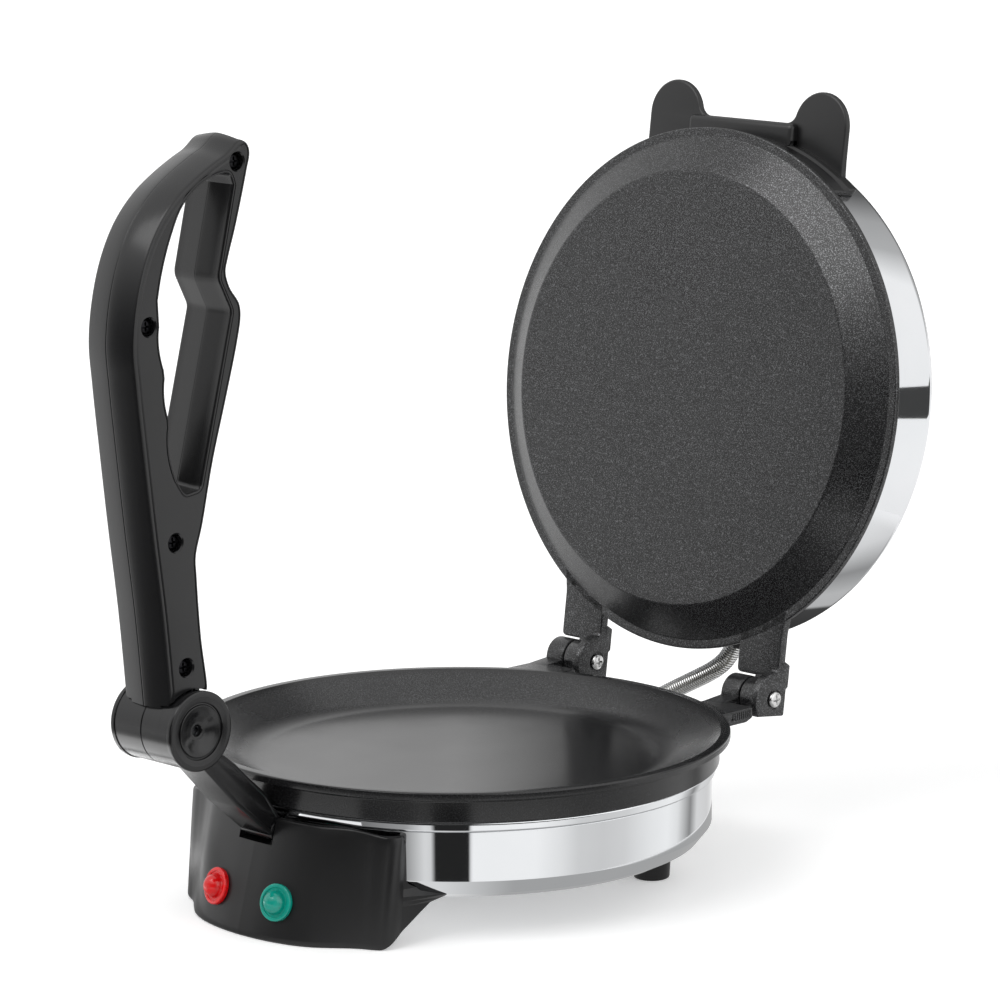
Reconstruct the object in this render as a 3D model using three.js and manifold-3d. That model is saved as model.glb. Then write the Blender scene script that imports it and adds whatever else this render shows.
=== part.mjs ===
// Electric roti maker with its lid open and its press handle standing up.
// Millimetres, +Z up. The origin is on the pan's axis at the height of the worktop.
// The front, with the lamps and the press handle, faces -Y, and the lid hinges at the back.
import * as THREE from 'three';
import { mergeVertices } from 'three/addons/utils/BufferGeometryUtils.js';
import Module from 'manifold-3d';

const wasm = await Module();
wasm.setup();

// Driving dimensions
const rimHeight = 68.4;
const plateRadius = 120;
const touchGap = 0.3;
const runningGap = 0.1;
const overrun = 3;
const roundSegments = 40;
const smallSegments = 8;
const middleSegments = 20;
const lidOpenAngle = 97.48;
// A flat of a faceted round reaches this share of the radius
const flatShare = Math.cos(Math.PI / roundSegments);

// Lower cooking plate, measured down from its rim
const pan = {
  depth: 12, floorInset: 27, mouthInset: 4.2, thickness: 5, edge: 0.9,
  lipThickness: 3.4, lipNeck: 1.3, skirtInset: 4.8, skirtDepth: 14, skirtWall: 3.4,
};

// Steel body under the plate, with the trim ring above its band
const trim = { inset: 1.6, height: 4.3, fold: 2.2, edge: 0.8 };
const body = {
  inset: 1.6, sheet: 1.1, bandHeight: 22, bevelHeight: 6.4, bevelInset: 5, bottomDrop: 2.4, bottomInset: 4.5,
};

// Hinges: on each side a knuckle of the lower plate beside one of the lid, with a shoulder screw
const hinge = {
  setback: 13.8, axisRise: 0.92, knuckleRadius: 8.6, inner: 42.8, width: 24.7, lowerWidth: 10.4, cheekWidth: 3.7,
  sideGap: 1, tongueThickness: 5.8, tongueStep: 0.8, tongueSetback: 4, tongueGap: 14.3, cheekRadius: 12.3,
  screwRadius: 2.6, headRadius: 3.7, headHeight: 1.9, headRecess: 0.6, recessRadius: 4.5, screwEnd: 2.4,
};

// Lid, drawn closed round the hinge axis: its plate faces down and its cover is above
const lid = {
  inset: 0.3, planeRise: 1.09, flange: 2.9, edge: 0.7, plateauInset: 20.2, plateauDepth: 10.3, plateauEdge: 1.1,
  shoulderInset: 4.3, thickness: 3.6, locatorWall: 3, locatorHeight: 6,
  armThickness: 4.5, armEnd: 9.2, armCorner: 2.5, armRoot: 60, armFlare: 2.2,
};
const heel = { reach: 17, end: 7.8, rise: 7.8, stepRise: 9, stepStart: 4.3, stepEnd: 15.4, round: 1 };
const cover = { inset: 4.2, height: 31.7, round: 7, sheet: 0.5, crown: 1.6, crownShare: 0.606 };

// Press saddle: a hoop on the lid's cover, two lifting tabs and a round bar between them
const saddle = {
  hoopWall: 3.7, hoopFrontWall: 2.4, hoopFront: 11, hoopHalfAngle: 35,
  tabX: 44.3, tabStand: 24.6, tabHalfWidth: 15.8, tabThickness: 3.4, tabRise: 18.8, tabFillet: 4,
  barHalfLength: 31, barStand: 9.3, barRise: 14.2, barHeight: 9.5, barRound: 3.2,
};
const saddleScrew = { angle: 9, rise: 18.9, radius: 1.9, length: 7, headRadius: 3.6, headHeight: 2 };

// Heating elements, thermostat, fuse and wiring block
const heater = {
  ringShare: 0.731, tubeRadius: 3.6, openAngle: 46, tailRise: 13, tailBend: 9, steps: 30, sides: 6,
  clampInnerShare: 0.527, clampOuterShare: 0.903, clampSheet: 1.4, bossRadius: 4.6, bossRingShare: 0.591, bossCount: 3, notchHalf: 34,
  screwRadius: 1.9, screwLength: 6, screwHeadRadius: 3.6, screwHeadHeight: 2,
};
const thermostat = {
  radius: 8.4, height: 8.2, flangeRadius: 11, flangeHeight: 1.2, offset: 26, tabWidth: 4.2, tabHeight: 7, tabSheet: 0.8,
};
const fuse = { radius: 2.6, length: 23, offset: 30, legRadius: 0.9, legLength: 6 };
const terminal = {
  length: 36, width: 16, height: 11, poles: 3, poleRadius: 3, poleDepth: 6, inset: 34,
};
const bodyBolt = { bossRadius: 6.4, shankRadius: 2.9, headRadius: 6, headHeight: 3.2, holeRadius: 3.4 };

// Front housing in moulded plastic: half widths at its top and at the worktop, and how far each corner of its
// outline stands in front of the body's radius, or behind it where negative
const housing = {
  topDrop: 18.8, wall: 2.6, frontTop: 6.7, frontFoot: 21, faceHalfTop: 31.3, faceHalfFoot: 35, faceCornerTop: 3.4,
  faceCornerFoot: 15, sideHalfTop: 55, sideHalfFoot: 51, sideReachTop: -7.4, sideReachFoot: 5,
  wingHalf: 64, wingReachTop: -15.6, wingHalfFoot: 63.6, wingReachFoot: -4.2, wingEndHalf: 62, wingEndReach: -19.8,
  heelHalf: 73.5, heelReach: -34, heelFootHalf: 66, flangeDrop: 3.5, backHalf: 60, backReach: -52,
  footEdge: 2, topEdge: 0.8, faceSteps: 8,
};
const slot = { halfWidth: 10.2, depth: 10.5, cheek: 5.2, floor: 2.4 };
const housingScrew = { angle: 22, drop: 33.5, radius: 1.7, length: 4.2, headRadius: 3.4, headHeight: 2, bossRadius: 4.2 };
const lamp = {
  spacing: 37.4, rise: 16.9, lensRadius: 8, lensFlange: 1.8, domeRadius: 5, domeHeight: 4.6, domeWall: 1.2,
  sleeveRadius: 5.2, sleeveWall: 1.2, sleeveLength: 12, seatDepth: 0.5, bulbRadius: 3.1, bulbLength: 16, collarRadius: 3.7,
  collarLength: 5,
};
const rearFoot = { radius: 8, topRadius: 9, inset: 26.4, angle: 45.95, pegRadius: 4, pegLength: 3.6, edge: 1.2 };
const cordGland = { radius: 6, flange: 8.4, flangeHeight: 1.8, length: 6, bore: 3.6, angle: 24, drop: 31 };

// Link between the housing and the handle, and the barrel that the handle turns on
const link = {
  pivotStand: 5, pivotDrop: 24, eyeRadius: 4.3, pinRadius: 2, pinGrip: 4.2, halfWidth: 9.7, thickness: 12,
};
const barrel = {
  stand: 55.7, rise: 29.4, radius: 16.5, halfLength: 18.83, hubRadius: 10.6, hubGap: 0.5, axleRadius: 3, wallWidth: 2.9,
  windowStart: -97, windowEnd: 50, reliefWidth: 1.6, reliefDepth: 5,
};
const cap = {
  radius: 16.9, flange: 2.4, spigot: 12.5, edge: 0.7, dishRadius: 10.6, grooveWidth: 1.3, grooveDepth: 0.9, dishRise: 0.4,
  dishDepth: 2.2, holeRadius: 2.4, holeRim: 1.5,
};

// Press handle: its reach from the barrel's axis to its tip, and the depth that its outline is drawn on
const handle = {
  reach: 241.6, depth: 60, halfWidth: 14, crownHalf: 7, crownRise: 2.3, crownShare: 0.64, splitGap: 0.15, pocketWall: 2.8, bossRadius: 4.6,
  screwRadius: 1.8, headRadius: 3.1, headHeight: 1.8, boreRadius: 3.75, boreDepth: 4.2, screwLength: 16,
};

// Conduit: a wire-wound sleeve that carries the lid heater's wires across the hinge
const conduit = {
  radius: 3.75, wireRadius: 0.44, curls: 36, curlSteps: 8, wireSides: 5, coreRadius: 2.2, coreSteps: 20, coreSides: 6,
  sleeveRadius: 5.3, sleeveBore: 3, sleeveOut: 3, sleeveIn: 4, lowerX: -30, lowerDrop: 30, lidX: 27, lidRise: 18,
  crestX: 8, crestBehind: 17.2, crestRise: 2.4, longBow: 26, shortBow: 6,
};
const leanShares = [0.5, 0.12, 0.857];
const crestShares = [0.84, 0.035, 0.54];
const conduitLean = new THREE.Vector3(...leanShares).normalize();
const conduitCrestLean = new THREE.Vector3(...crestShares).normalize();

const deg = Math.PI / 180;
const rimZ = rimHeight;
const floorRadius = plateRadius - pan.floorInset;
const mouthRadius = plateRadius - pan.mouthInset;
const skirtRadius = plateRadius - pan.skirtInset;
const trimRadius = skirtRadius - trim.inset;
const bodyRadius = trimRadius - body.inset;
const lidRadius = plateRadius - lid.inset;
const plateauRadius = lidRadius - lid.plateauInset;
const shoulderRadius = lidRadius - lid.shoulderInset;
const coverRadius = lidRadius - cover.inset;
const hingeY = plateRadius + hinge.setback;
const pivotY = -bodyRadius - link.pivotStand;
const barrelY = -bodyRadius - barrel.stand;
const hingeZ = rimZ + hinge.axisRise;
const barrelZ = rimZ + barrel.rise;
const pivotZ = rimZ - link.pivotDrop;
const bodyTop = rimZ - pan.skirtDepth - trim.height;
const bandFoot = bodyTop - body.bandHeight;
const bevelFoot = bandFoot - body.bevelHeight;
const bodyFoot = bevelFoot - body.bottomDrop;
const panBack = rimZ - pan.depth - pan.thickness;
const housingTop = rimZ - housing.topDrop;
const plateBack = lid.planeRise + lid.flange;
const upperBack = lid.planeRise - lid.plateauDepth + lid.thickness;
const heaterRing = floorRadius * heater.ringShare;
const bossRing = floorRadius * heater.bossRingShare;
const clampInner = floorRadius * heater.clampInnerShare;
const clampOuter = floorRadius * heater.clampOuterShare;
const terminalOffset = bodyRadius - terminal.inset;
const heaterStack = 2 * heater.tubeRadius + 2 * touchGap;

// Materials
function finish(colour, roughness, metalness) {
  return new THREE.MeshStandardMaterial({ color: colour, roughness, metalness });
}
const nonstick = finish(0x3f3f41, 0.6, 0.2);
const steel = finish(0xdfe1e3, 0.12, 1);
const plastic = finish(0x2f3032, 0.42, 0);
const zinc = finish(0xc9ccd0, 0.28, 1);
const heaterSteel = finish(0x6d6f66, 0.45, 1);
const ceramic = finish(0xd9d4c6, 0.7, 0);
const redLens = finish(0xd42a26, 0.2, 0);
const greenLens = finish(0x159081, 0.2, 0);
const bulbGlass = finish(0xe8d8c8, 0.1, 0);
const wireSleeve = finish(0x8a8378, 0.6, 0);

// Joining and cutting
function solid(geometry) {
  const bare = geometry.clone();
  bare.deleteAttribute('normal');
  bare.deleteAttribute('uv');
  const merged = mergeVertices(bare, touchGap / 1000);
  return new wasm.Manifold(new wasm.Mesh({
    numProp: 3,
    vertProperties: new Float32Array(merged.attributes.position.array),
    triVerts: new Uint32Array(merged.index.array),
  }));
}

function geometryOf(shape) {
  const mesh = shape.getMesh();
  const geometry = new THREE.BufferGeometry();
  geometry.setAttribute('position', new THREE.BufferAttribute(new Float32Array(mesh.vertProperties), 3));
  geometry.setIndex(new THREE.BufferAttribute(new Uint32Array(mesh.triVerts), 1));
  geometry.computeVertexNormals();
  return geometry;
}

function join(...pieces) {
  return pieces.reduce((whole, piece) => whole.add(piece));
}

function cut(whole, ...tools) {
  return tools.reduce((rest, tool) => rest.subtract(tool), whole);
}

function point(x, y) {
  return new THREE.Vector2(x, y);
}

// Turned solid on the Z axis, from [radius, height] pairs that run anticlockwise
function turned(profile, segments = smallSegments) {
  const points = profile.map(([radius, height]) => point(radius, height));
  const last = profile[profile.length - 1];
  if (profile[0][0] > 0 || last[0] > 0) points.push(points[0].clone());
  const geometry = new THREE.LatheGeometry(points, segments);
  geometry.rotateX(Math.PI / 2);
  return solid(geometry);
}

function rod(radius, low, high, segments = smallSegments) {
  return turned([[0, low], [radius, low], [radius, high], [0, high]], segments);
}

// Prism between two places along X, from an outline in the YZ plane
function prismX(outline, from, to) {
  const geometry = new THREE.ExtrudeGeometry(new THREE.Shape(outline), { depth: to - from, bevelEnabled: false });
  geometry.rotateX(Math.PI / 2);
  geometry.rotateZ(Math.PI / 2);
  geometry.translate(from, 0, 0);
  return solid(geometry);
}

// Prism between two heights, from an outline in the XY plane
function prismZ(outline, from, to) {
  const geometry = new THREE.ExtrudeGeometry(new THREE.Shape(outline), { depth: to - from, bevelEnabled: false });
  geometry.translate(0, 0, from);
  return solid(geometry);
}

function box(lowX, highX, lowY, highY, lowZ, highZ) {
  const geometry = new THREE.BoxGeometry(highX - lowX, highY - lowY, highZ - lowZ);
  geometry.translate((lowX + highX) / 2, (lowY + highY) / 2, (lowZ + highZ) / 2);
  return solid(geometry);
}

// A piece drawn along Z, turned to lie along X from the given place on an axis
function alongX(shape, x, y, z) {
  return shape.rotate([0, 90, 0]).translate([x, y, z]);
}

// A piece drawn along Z, turned to point outwards from the axis, at an angle from the front
function outwards(shape, angle, radius, z) {
  return shape.rotate([90, 0, 0]).translate([0, -radius, z]).rotate([0, 0, angle]);
}

// A piece drawn along Z, turned along a direction and moved to a place
function aimed(shape, direction, place) {
  const turn = new THREE.Quaternion().setFromUnitVectors(new THREE.Vector3(0, 0, 1), direction);
  const matrix = new THREE.Matrix4().compose(place, turn, new THREE.Vector3(1, 1, 1));
  return shape.transform(matrix.elements);
}

function arc(radius, y, z, from, to, steps) {
  const points = [];
  for (let step = 0; step <= steps; step += 1) {
    const angle = (from + ((to - from) * step) / steps) * deg;
    points.push(point(y + radius * Math.cos(angle), z + radius * Math.sin(angle)));
  }
  return points;
}

function mix(from, to, share) {
  return from + (to - from) * share;
}

// Outline moved inwards by the same distance on every side, for outlines that run anticlockwise
function inset(outline, distance) {
  return outline.map((corner, index) => {
    const before = outline[(index + outline.length - 1) % outline.length];
    const after = outline[(index + 1) % outline.length];
    const first = corner.clone().sub(before).normalize();
    const second = after.clone().sub(corner).normalize();
    const normal = point(-first.y - second.y, first.x + second.x);
    return corner.clone().add(normal.multiplyScalar(distance / (1 + first.dot(second))));
  });
}

// Skin through levels of matching rings, closed by a flat cap at both ends
function loft(levels) {
  const first = levels[0].rings;
  const corners = [];
  const faces = [];
  for (const level of levels) {
    for (const corner of level.rings.flat()) corners.push(...level.place(corner));
  }
  const levelSize = first.flat().length;
  const last = (levels.length - 1) * levelSize;
  for (const [a, b, c] of THREE.ShapeUtils.triangulateShape(first[0], first.slice(1))) {
    faces.push(a, c, b, last + a, last + b, last + c);
  }
  for (let level = 0; level < levels.length - 1; level += 1) {
    let start = level * levelSize;
    for (const ring of first) {
      for (let corner = 0; corner < ring.length; corner += 1) {
        const low = start + corner;
        const next = start + ((corner + 1) % ring.length);
        faces.push(low, next, next + levelSize, low, next + levelSize, low + levelSize);
      }
      start += ring.length;
    }
  }
  const geometry = new THREE.BufferGeometry();
  geometry.setAttribute('position', new THREE.Float32BufferAttribute(corners, 3));
  geometry.setIndex(faces);
  return solid(geometry);
}

function named(name, shape, look) {
  const mesh = new THREE.Mesh(shape.isBufferGeometry ? shape : geometryOf(shape), look);
  mesh.name = name;
  return mesh;
}

// Screw along Z: the underside of its head is at zero and its shank points down
function screw(shankRadius, shankLength, headRadius, headHeight, segments = smallSegments) {
  const crown = headHeight / 2;
  return turned([
    [0, -shankLength], [shankRadius, -shankLength], [shankRadius, 0], [headRadius, 0],
    [headRadius, headHeight - crown], [headRadius - crown, headHeight], [0, headHeight],
  ], segments);
}

const rotiMaker = new THREE.Group();
const lidGroup = new THREE.Group();
lidGroup.position.set(0, hingeY, hingeZ);
lidGroup.rotation.x = -lidOpenAngle * deg;
rotiMaker.add(lidGroup);

// Bosses on the back of a plate, drawn upwards from zero, that hold the heater's clamp ring
function bossPlace(index) {
  const angle = (-90 + (index * 360) / heater.bossCount) * deg;
  return [bossRing * Math.cos(angle), bossRing * Math.sin(angle)];
}

function heaterBosses(sunk) {
  const bosses = [];
  for (let index = 0; index < heater.bossCount; index += 1) {
    const post = rod(heater.bossRadius, -sunk, heaterStack - touchGap);
    const pilot = rod(heater.screwRadius + runningGap, touchGap, heaterStack + overrun);
    bosses.push(cut(post, pilot).translate([...bossPlace(index), 0]));
  }
  return join(...bosses);
}

// Lower plate: a pan with a lip and a skirt, two hinge tongues with knuckles, and bosses beneath
function hingeSides() {
  return [-hinge.inner - hinge.width, hinge.inner];
}

function lowerTongue(left) {
  const low = rimZ - hinge.tongueThickness;
  const end = hingeY - hinge.tongueGap;
  const start = radialReach(hinge.inner, skirtRadius) - pan.skirtWall * 2;
  const blade = prismX([
    point(start, low - hinge.tongueStep), point(end - hinge.tongueSetback, low - hinge.tongueStep),
    point(end - hinge.tongueSetback, low), point(end, low + hinge.tongueStep), point(end, rimZ), point(start, rimZ),
  ], left, left + hinge.width);
  const web = prismX([
    point(end - hinge.tongueSetback, low - hinge.tongueStep), point(hingeY - hinge.knuckleRadius / 2, low - hinge.tongueStep),
    ...arc(hinge.knuckleRadius, hingeY, hingeZ, -80, 186, 14), point(end - hinge.tongueSetback, rimZ),
  ], left, left + hinge.lowerWidth);
  const bore = alongX(rod(hinge.screwRadius + runningGap, 0, hinge.lowerWidth + overrun, middleSegments), left + hinge.screwEnd, hingeY, hingeZ);
  const mouth = rod(mouthRadius, panBack, rimZ + overrun, roundSegments);
  return cut(join(blade, web), bore, mouth);
}

function radialReach(x, radius) {
  return Math.sqrt(radius * radius - x * x);
}

function lowerPlate() {
  const slope = pan.depth / (mouthRadius - floorRadius);
  const bend = pan.thickness / 2;
  const plate = turned([
    [0, panBack], [floorRadius, panBack],
    [skirtRadius - pan.skirtWall, rimZ - pan.depth / 2 - pan.thickness],
    [skirtRadius - pan.skirtWall, rimZ - pan.skirtDepth], [skirtRadius, rimZ - pan.skirtDepth],
    [skirtRadius, rimZ - pan.lipThickness - pan.lipNeck], [plateRadius - pan.edge, rimZ - pan.lipThickness],
    [plateRadius, rimZ - pan.lipThickness + pan.edge], [plateRadius, rimZ - pan.edge], [plateRadius - pan.edge, rimZ],
    [mouthRadius, rimZ],
    [floorRadius + bend, rimZ - pan.depth + bend * slope], [floorRadius - bend, rimZ - pan.depth],
    [0, rimZ - pan.depth],
  ], roundSegments);
  const bosses = heaterBosses(pan.thickness / 2).rotate([180, 0, 0]).translate([0, 0, panBack]);
  const boltBoss = cut(
    rod(bodyBolt.bossRadius, bodyFoot + body.sheet + touchGap, panBack + pan.thickness / 2),
    rod(bodyBolt.shankRadius + runningGap, bodyFoot, panBack - pan.thickness),
  );
  return join(plate, ...hingeSides().map(lowerTongue), bosses, boltBoss);
}
rotiMaker.add(named('lower_plate', lowerPlate(), nonstick));

// Steel body: a drawn cup with a bevelled foot, and a bright ring between it and the plate's skirt
function bodySkin(offset) {
  return [
    [bodyRadius - body.bevelInset - body.bottomInset - offset / 2, bodyFoot + offset],
    [bodyRadius - body.bevelInset - offset, bevelFoot + offset / 2], [bodyRadius - offset, bandFoot],
    [bodyRadius - offset, bodyTop - touchGap],
  ];
}

function conduitLowerDirection() {
  const reach = radialReach(conduit.lowerX, bodyRadius);
  return new THREE.Vector3(conduit.lowerX, reach, 0).normalize();
}

function conduitLowerPlace(away) {
  const direction = conduitLowerDirection();
  return direction.clone().multiplyScalar(bodyRadius + away).setZ(rimZ - conduit.lowerDrop);
}

function footPlace(side) {
  const reach = bodyRadius - rearFoot.inset;
  return [side * reach * Math.sin(rearFoot.angle * deg), reach * Math.cos(rearFoot.angle * deg), 0];
}

function baseShell() {
  const cup = turned([
    [0, bodyFoot], ...bodySkin(0), ...bodySkin(body.sheet).reverse(), [0, bodyFoot + body.sheet],
  ], roundSegments);
  const holes = [rod(bodyBolt.holeRadius, bodyFoot - overrun, bodyFoot + overrun)];
  for (const side of [-1, 1]) {
    const pegHole = rod(rearFoot.pegRadius + touchGap, bodyFoot - overrun, bodyFoot + overrun, middleSegments);
    const screwHole = rod(housingScrew.radius + touchGap, -overrun, overrun);
    holes.push(pegHole.translate(footPlace(side)));
    holes.push(outwards(screwHole, side * housingScrew.angle, bodyRadius, rimZ - housingScrew.drop));
  }
  const glandHole = rod(cordGland.radius + touchGap, -overrun, overrun);
  const conduitHole = rod(conduit.sleeveRadius + touchGap, -overrun, overrun, middleSegments);
  holes.push(outwards(glandHole, 180 - cordGland.angle, bodyRadius, rimZ - cordGland.drop));
  holes.push(aimed(conduitHole, conduitLowerDirection(), conduitLowerPlace(0)));
  return cut(cup, ...holes);
}

function trimRing() {
  const high = rimZ - pan.skirtDepth - touchGap;
  return turned([
    [trimRadius - trim.fold, bodyTop], [trimRadius, bodyTop], [trimRadius, high - trim.edge],
    [trimRadius - trim.edge, high], [trimRadius - trim.fold, high],
  ], roundSegments);
}
rotiMaker.add(named('base_shell', baseShell(), steel));
rotiMaker.add(named('trim_ring', trimRing(), steel));

function bodyBoltPiece() {
  const seat = bodyFoot - touchGap;
  const shank = panBack - pan.thickness - touchGap - seat;
  return screw(bodyBolt.shankRadius, shank, bodyBolt.headRadius, bodyBolt.headHeight)
    .rotate([180, 0, 0]).translate([0, 0, seat]);
}
rotiMaker.add(named('body_bolt', bodyBoltPiece(), zinc));

// Rear feet, pegged into the body's bottom
function footPiece() {
  const top = bodyFoot - touchGap;
  return turned([
    [0, 0], [rearFoot.radius - rearFoot.edge, 0], [rearFoot.radius, rearFoot.edge], [rearFoot.topRadius, top],
    [rearFoot.pegRadius, top], [rearFoot.pegRadius, top + rearFoot.pegLength], [0, top + rearFoot.pegLength],
  ], middleSegments);
}
for (const [name, side] of [['rear_foot_left', -1], ['rear_foot_right', 1]]) {
  rotiMaker.add(named(name, footPiece().translate(footPlace(side)), plastic));
}

// Cord gland at the back of the body
function glandPiece() {
  const bush = turned([
    [cordGland.bore, -cordGland.length], [cordGland.radius, -cordGland.length], [cordGland.radius, 0],
    [cordGland.flange, 0], [cordGland.flange, cordGland.flangeHeight], [cordGland.bore, cordGland.flangeHeight],
  ]);
  return outwards(bush, 180 - cordGland.angle, bodyRadius + touchGap, rimZ - cordGland.drop);
}
rotiMaker.add(named('cord_gland', glandPiece(), plastic));

// Heating element, clamp ring and screws, drawn upwards from the back of a plate
function heaterTube() {
  const height = touchGap + heater.tubeRadius;
  const half = heater.openAngle / 2;
  const on = (angle, z) => new THREE.Vector3(heaterRing * Math.cos(angle), heaterRing * Math.sin(angle), z);
  const ring = [];
  for (let step = 0; step <= heater.steps / 2; step += 1) {
    ring.push(on((90 - half - ((360 - heater.openAngle) * step * 2) / heater.steps) * deg, height));
  }
  const tail = (side) => {
    const angle = (90 - side * half) * deg;
    const along = new THREE.Vector3(-Math.sin(angle), Math.cos(angle), 0).multiplyScalar(side * heater.tailBend);
    return [on(angle, height + heater.tailRise).add(along), on(angle, height).add(along)];
  };
  const path = new THREE.CurvePath();
  path.add(new THREE.QuadraticBezierCurve3(...tail(1), ring[0]));
  path.add(new THREE.CatmullRomCurve3(ring));
  path.add(new THREE.QuadraticBezierCurve3(ring[ring.length - 1], ...tail(-1).reverse()));
  const section = new THREE.Shape(arc(heater.tubeRadius, 0, 0, 0, 360 - 360 / heater.sides, heater.sides - 1));
  return solid(new THREE.ExtrudeGeometry(section, { steps: heater.steps, extrudePath: path, bevelEnabled: false }));
}

function clampRing() {
  const low = heaterStack;
  const ring = turned([
    [clampInner, low], [clampOuter, low], [clampOuter, low + heater.clampSheet],
    [clampInner, low + heater.clampSheet],
  ], middleSegments);
  const notch = box(-heater.notchHalf, heater.notchHalf, clampInner / 2, clampOuter + overrun, 0, low * 2);
  const holes = [];
  for (let index = 0; index < heater.bossCount; index += 1) {
    const hole = rod(heater.screwRadius + touchGap, 0, low * 2);
    holes.push(hole.translate([...bossPlace(index), 0]));
  }
  return cut(ring, notch, ...holes);
}

function addHeater(prefix, group) {
  group.add(named(`${prefix}_heater`, heaterTube(), heaterSteel));
  group.add(named(`${prefix}_clamp_ring`, clampRing(), zinc));
  for (let index = 0; index < heater.bossCount; index += 1) {
    const piece = screw(heater.screwRadius, heater.screwLength, heater.screwHeadRadius, heater.screwHeadHeight);
    const mesh = named(`${prefix}_clamp_screw_${index + 1}`, piece, zinc);
    mesh.position.set(...bossPlace(index), heaterStack + heater.clampSheet + touchGap);
    group.add(mesh);
  }
}

const lowerHeaterGroup = new THREE.Group();
lowerHeaterGroup.position.z = panBack;
lowerHeaterGroup.rotation.x = Math.PI;
rotiMaker.add(lowerHeaterGroup);
addHeater('lower', lowerHeaterGroup);

const upperHeaterGroup = new THREE.Group();
upperHeaterGroup.position.set(0, -hingeY, upperBack);
lidGroup.add(upperHeaterGroup);
addHeater('upper', upperHeaterGroup);

// Thermostat and thermal fuse on the back of the lower plate
function thermostatPiece() {
  const low = touchGap;
  const high = low + thermostat.flangeHeight + thermostat.height;
  const can = turned([
    [0, low], [thermostat.flangeRadius, low], [thermostat.flangeRadius, low + thermostat.flangeHeight],
    [thermostat.radius, low + thermostat.flangeHeight], [thermostat.radius, high], [0, high],
  ]);
  const tabs = [-1, 1].map((side) => {
    const x = (side * thermostat.radius) / 2;
    const half = thermostat.tabSheet / 2;
    return box(x - half, x + half, -thermostat.tabWidth / 2, thermostat.tabWidth / 2, high - low, high + thermostat.tabHeight);
  });
  return join(can, ...tabs).translate([0, thermostat.offset, 0]);
}

function fusePiece() {
  const whole = fuse.length + 2 * fuse.legLength;
  const can = alongX(rod(fuse.radius, -fuse.length / 2, fuse.length / 2), 0, 0, 0);
  const legs = alongX(rod(fuse.legRadius, -whole / 2, whole / 2), 0, 0, 0);
  return join(can, legs).translate([0, -fuse.offset, touchGap + fuse.radius]);
}
lowerHeaterGroup.add(named('thermostat', thermostatPiece(), ceramic));
lowerHeaterGroup.add(named('thermal_fuse', fusePiece(), zinc));

// Terminal block on the floor of the body
function terminalPiece() {
  const low = bodyFoot + body.sheet + touchGap;
  const high = low + terminal.height;
  const block = box(
    -terminal.length / 2, terminal.length / 2, -terminalOffset - terminal.width / 2, -terminalOffset + terminal.width / 2,
    low, high,
  );
  const holes = [];
  for (let pole = 0; pole < terminal.poles; pole += 1) {
    const x = (pole - (terminal.poles - 1) / 2) * (terminal.length / terminal.poles);
    holes.push(rod(terminal.poleRadius, high - terminal.poleDepth, high + overrun).translate([x, -terminalOffset, 0]));
  }
  return cut(block, ...holes);
}
rotiMaker.add(named('terminal_block', terminalPiece(), ceramic));

// Front housing: its outline at a height, running anticlockwise seen from above
function housingOutline(z) {
  const share = z / housingTop;
  const front = bodyRadius + mix(housing.frontFoot, housing.frontTop, share);
  const corner = bodyRadius + mix(housing.faceCornerFoot, housing.faceCornerTop, share);
  const faceHalf = mix(housing.faceHalfFoot, housing.faceHalfTop, share);
  const heelShare = THREE.MathUtils.clamp((z - bevelFoot) / body.bevelHeight, 0, 1);
  const flangeShare = THREE.MathUtils.clamp((z - bevelFoot + housing.flangeDrop) / housing.flangeDrop, 0, 1);
  const heelHalf = mix(mix(housing.heelFootHalf, housing.heelHalf, flangeShare), housing.wingEndHalf, heelShare);
  const right = [
    point(mix(housing.sideHalfFoot, housing.sideHalfTop, share), -bodyRadius - mix(housing.sideReachFoot, housing.sideReachTop, share)),
    point(mix(housing.wingHalfFoot, housing.wingHalf, share), -bodyRadius - mix(housing.wingReachFoot, housing.wingReachTop, share)),
    point(heelHalf, -bodyRadius - mix(housing.heelReach, housing.wingEndReach, heelShare)),
    point(housing.backHalf, -bodyRadius - housing.backReach),
  ];
  const left = right.map((corner_) => point(-corner_.x, corner_.y)).reverse();
  const face = [];
  for (let step = 0; step <= housing.faceSteps; step += 1) {
    const across = (2 * step) / housing.faceSteps - 1;
    face.push(point(faceHalf * across, -mix(front, corner, across * across)));
  }
  return [...face, ...right, ...left];
}

function housingLevels(heights, insets) {
  return heights.map((z, index) => ({
    rings: [inset(housingOutline(z), insets[index])],
    place: (corner) => [corner.x, corner.y, z],
  }));
}

// Place and direction of a lamp on the housing's leaning face
function lampFrame(side) {
  const share = lamp.rise / housingTop;
  const front = bodyRadius + mix(housing.frontFoot, housing.frontTop, share);
  const corner = bodyRadius + mix(housing.faceCornerFoot, housing.faceCornerTop, share);
  const faceHalf = mix(housing.faceHalfFoot, housing.faceHalfTop, share);
  const across = lamp.spacing / 2 / faceHalf;
  const lean = (housing.frontFoot - housing.frontTop) / housingTop;
  const turn = (2 * (front - corner) * across) / faceHalf;
  return {
    place: new THREE.Vector3((side * lamp.spacing) / 2, -mix(front, corner, across * across), lamp.rise),
    direction: new THREE.Vector3(side * turn, -1, lean).normalize(),
  };
}

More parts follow.
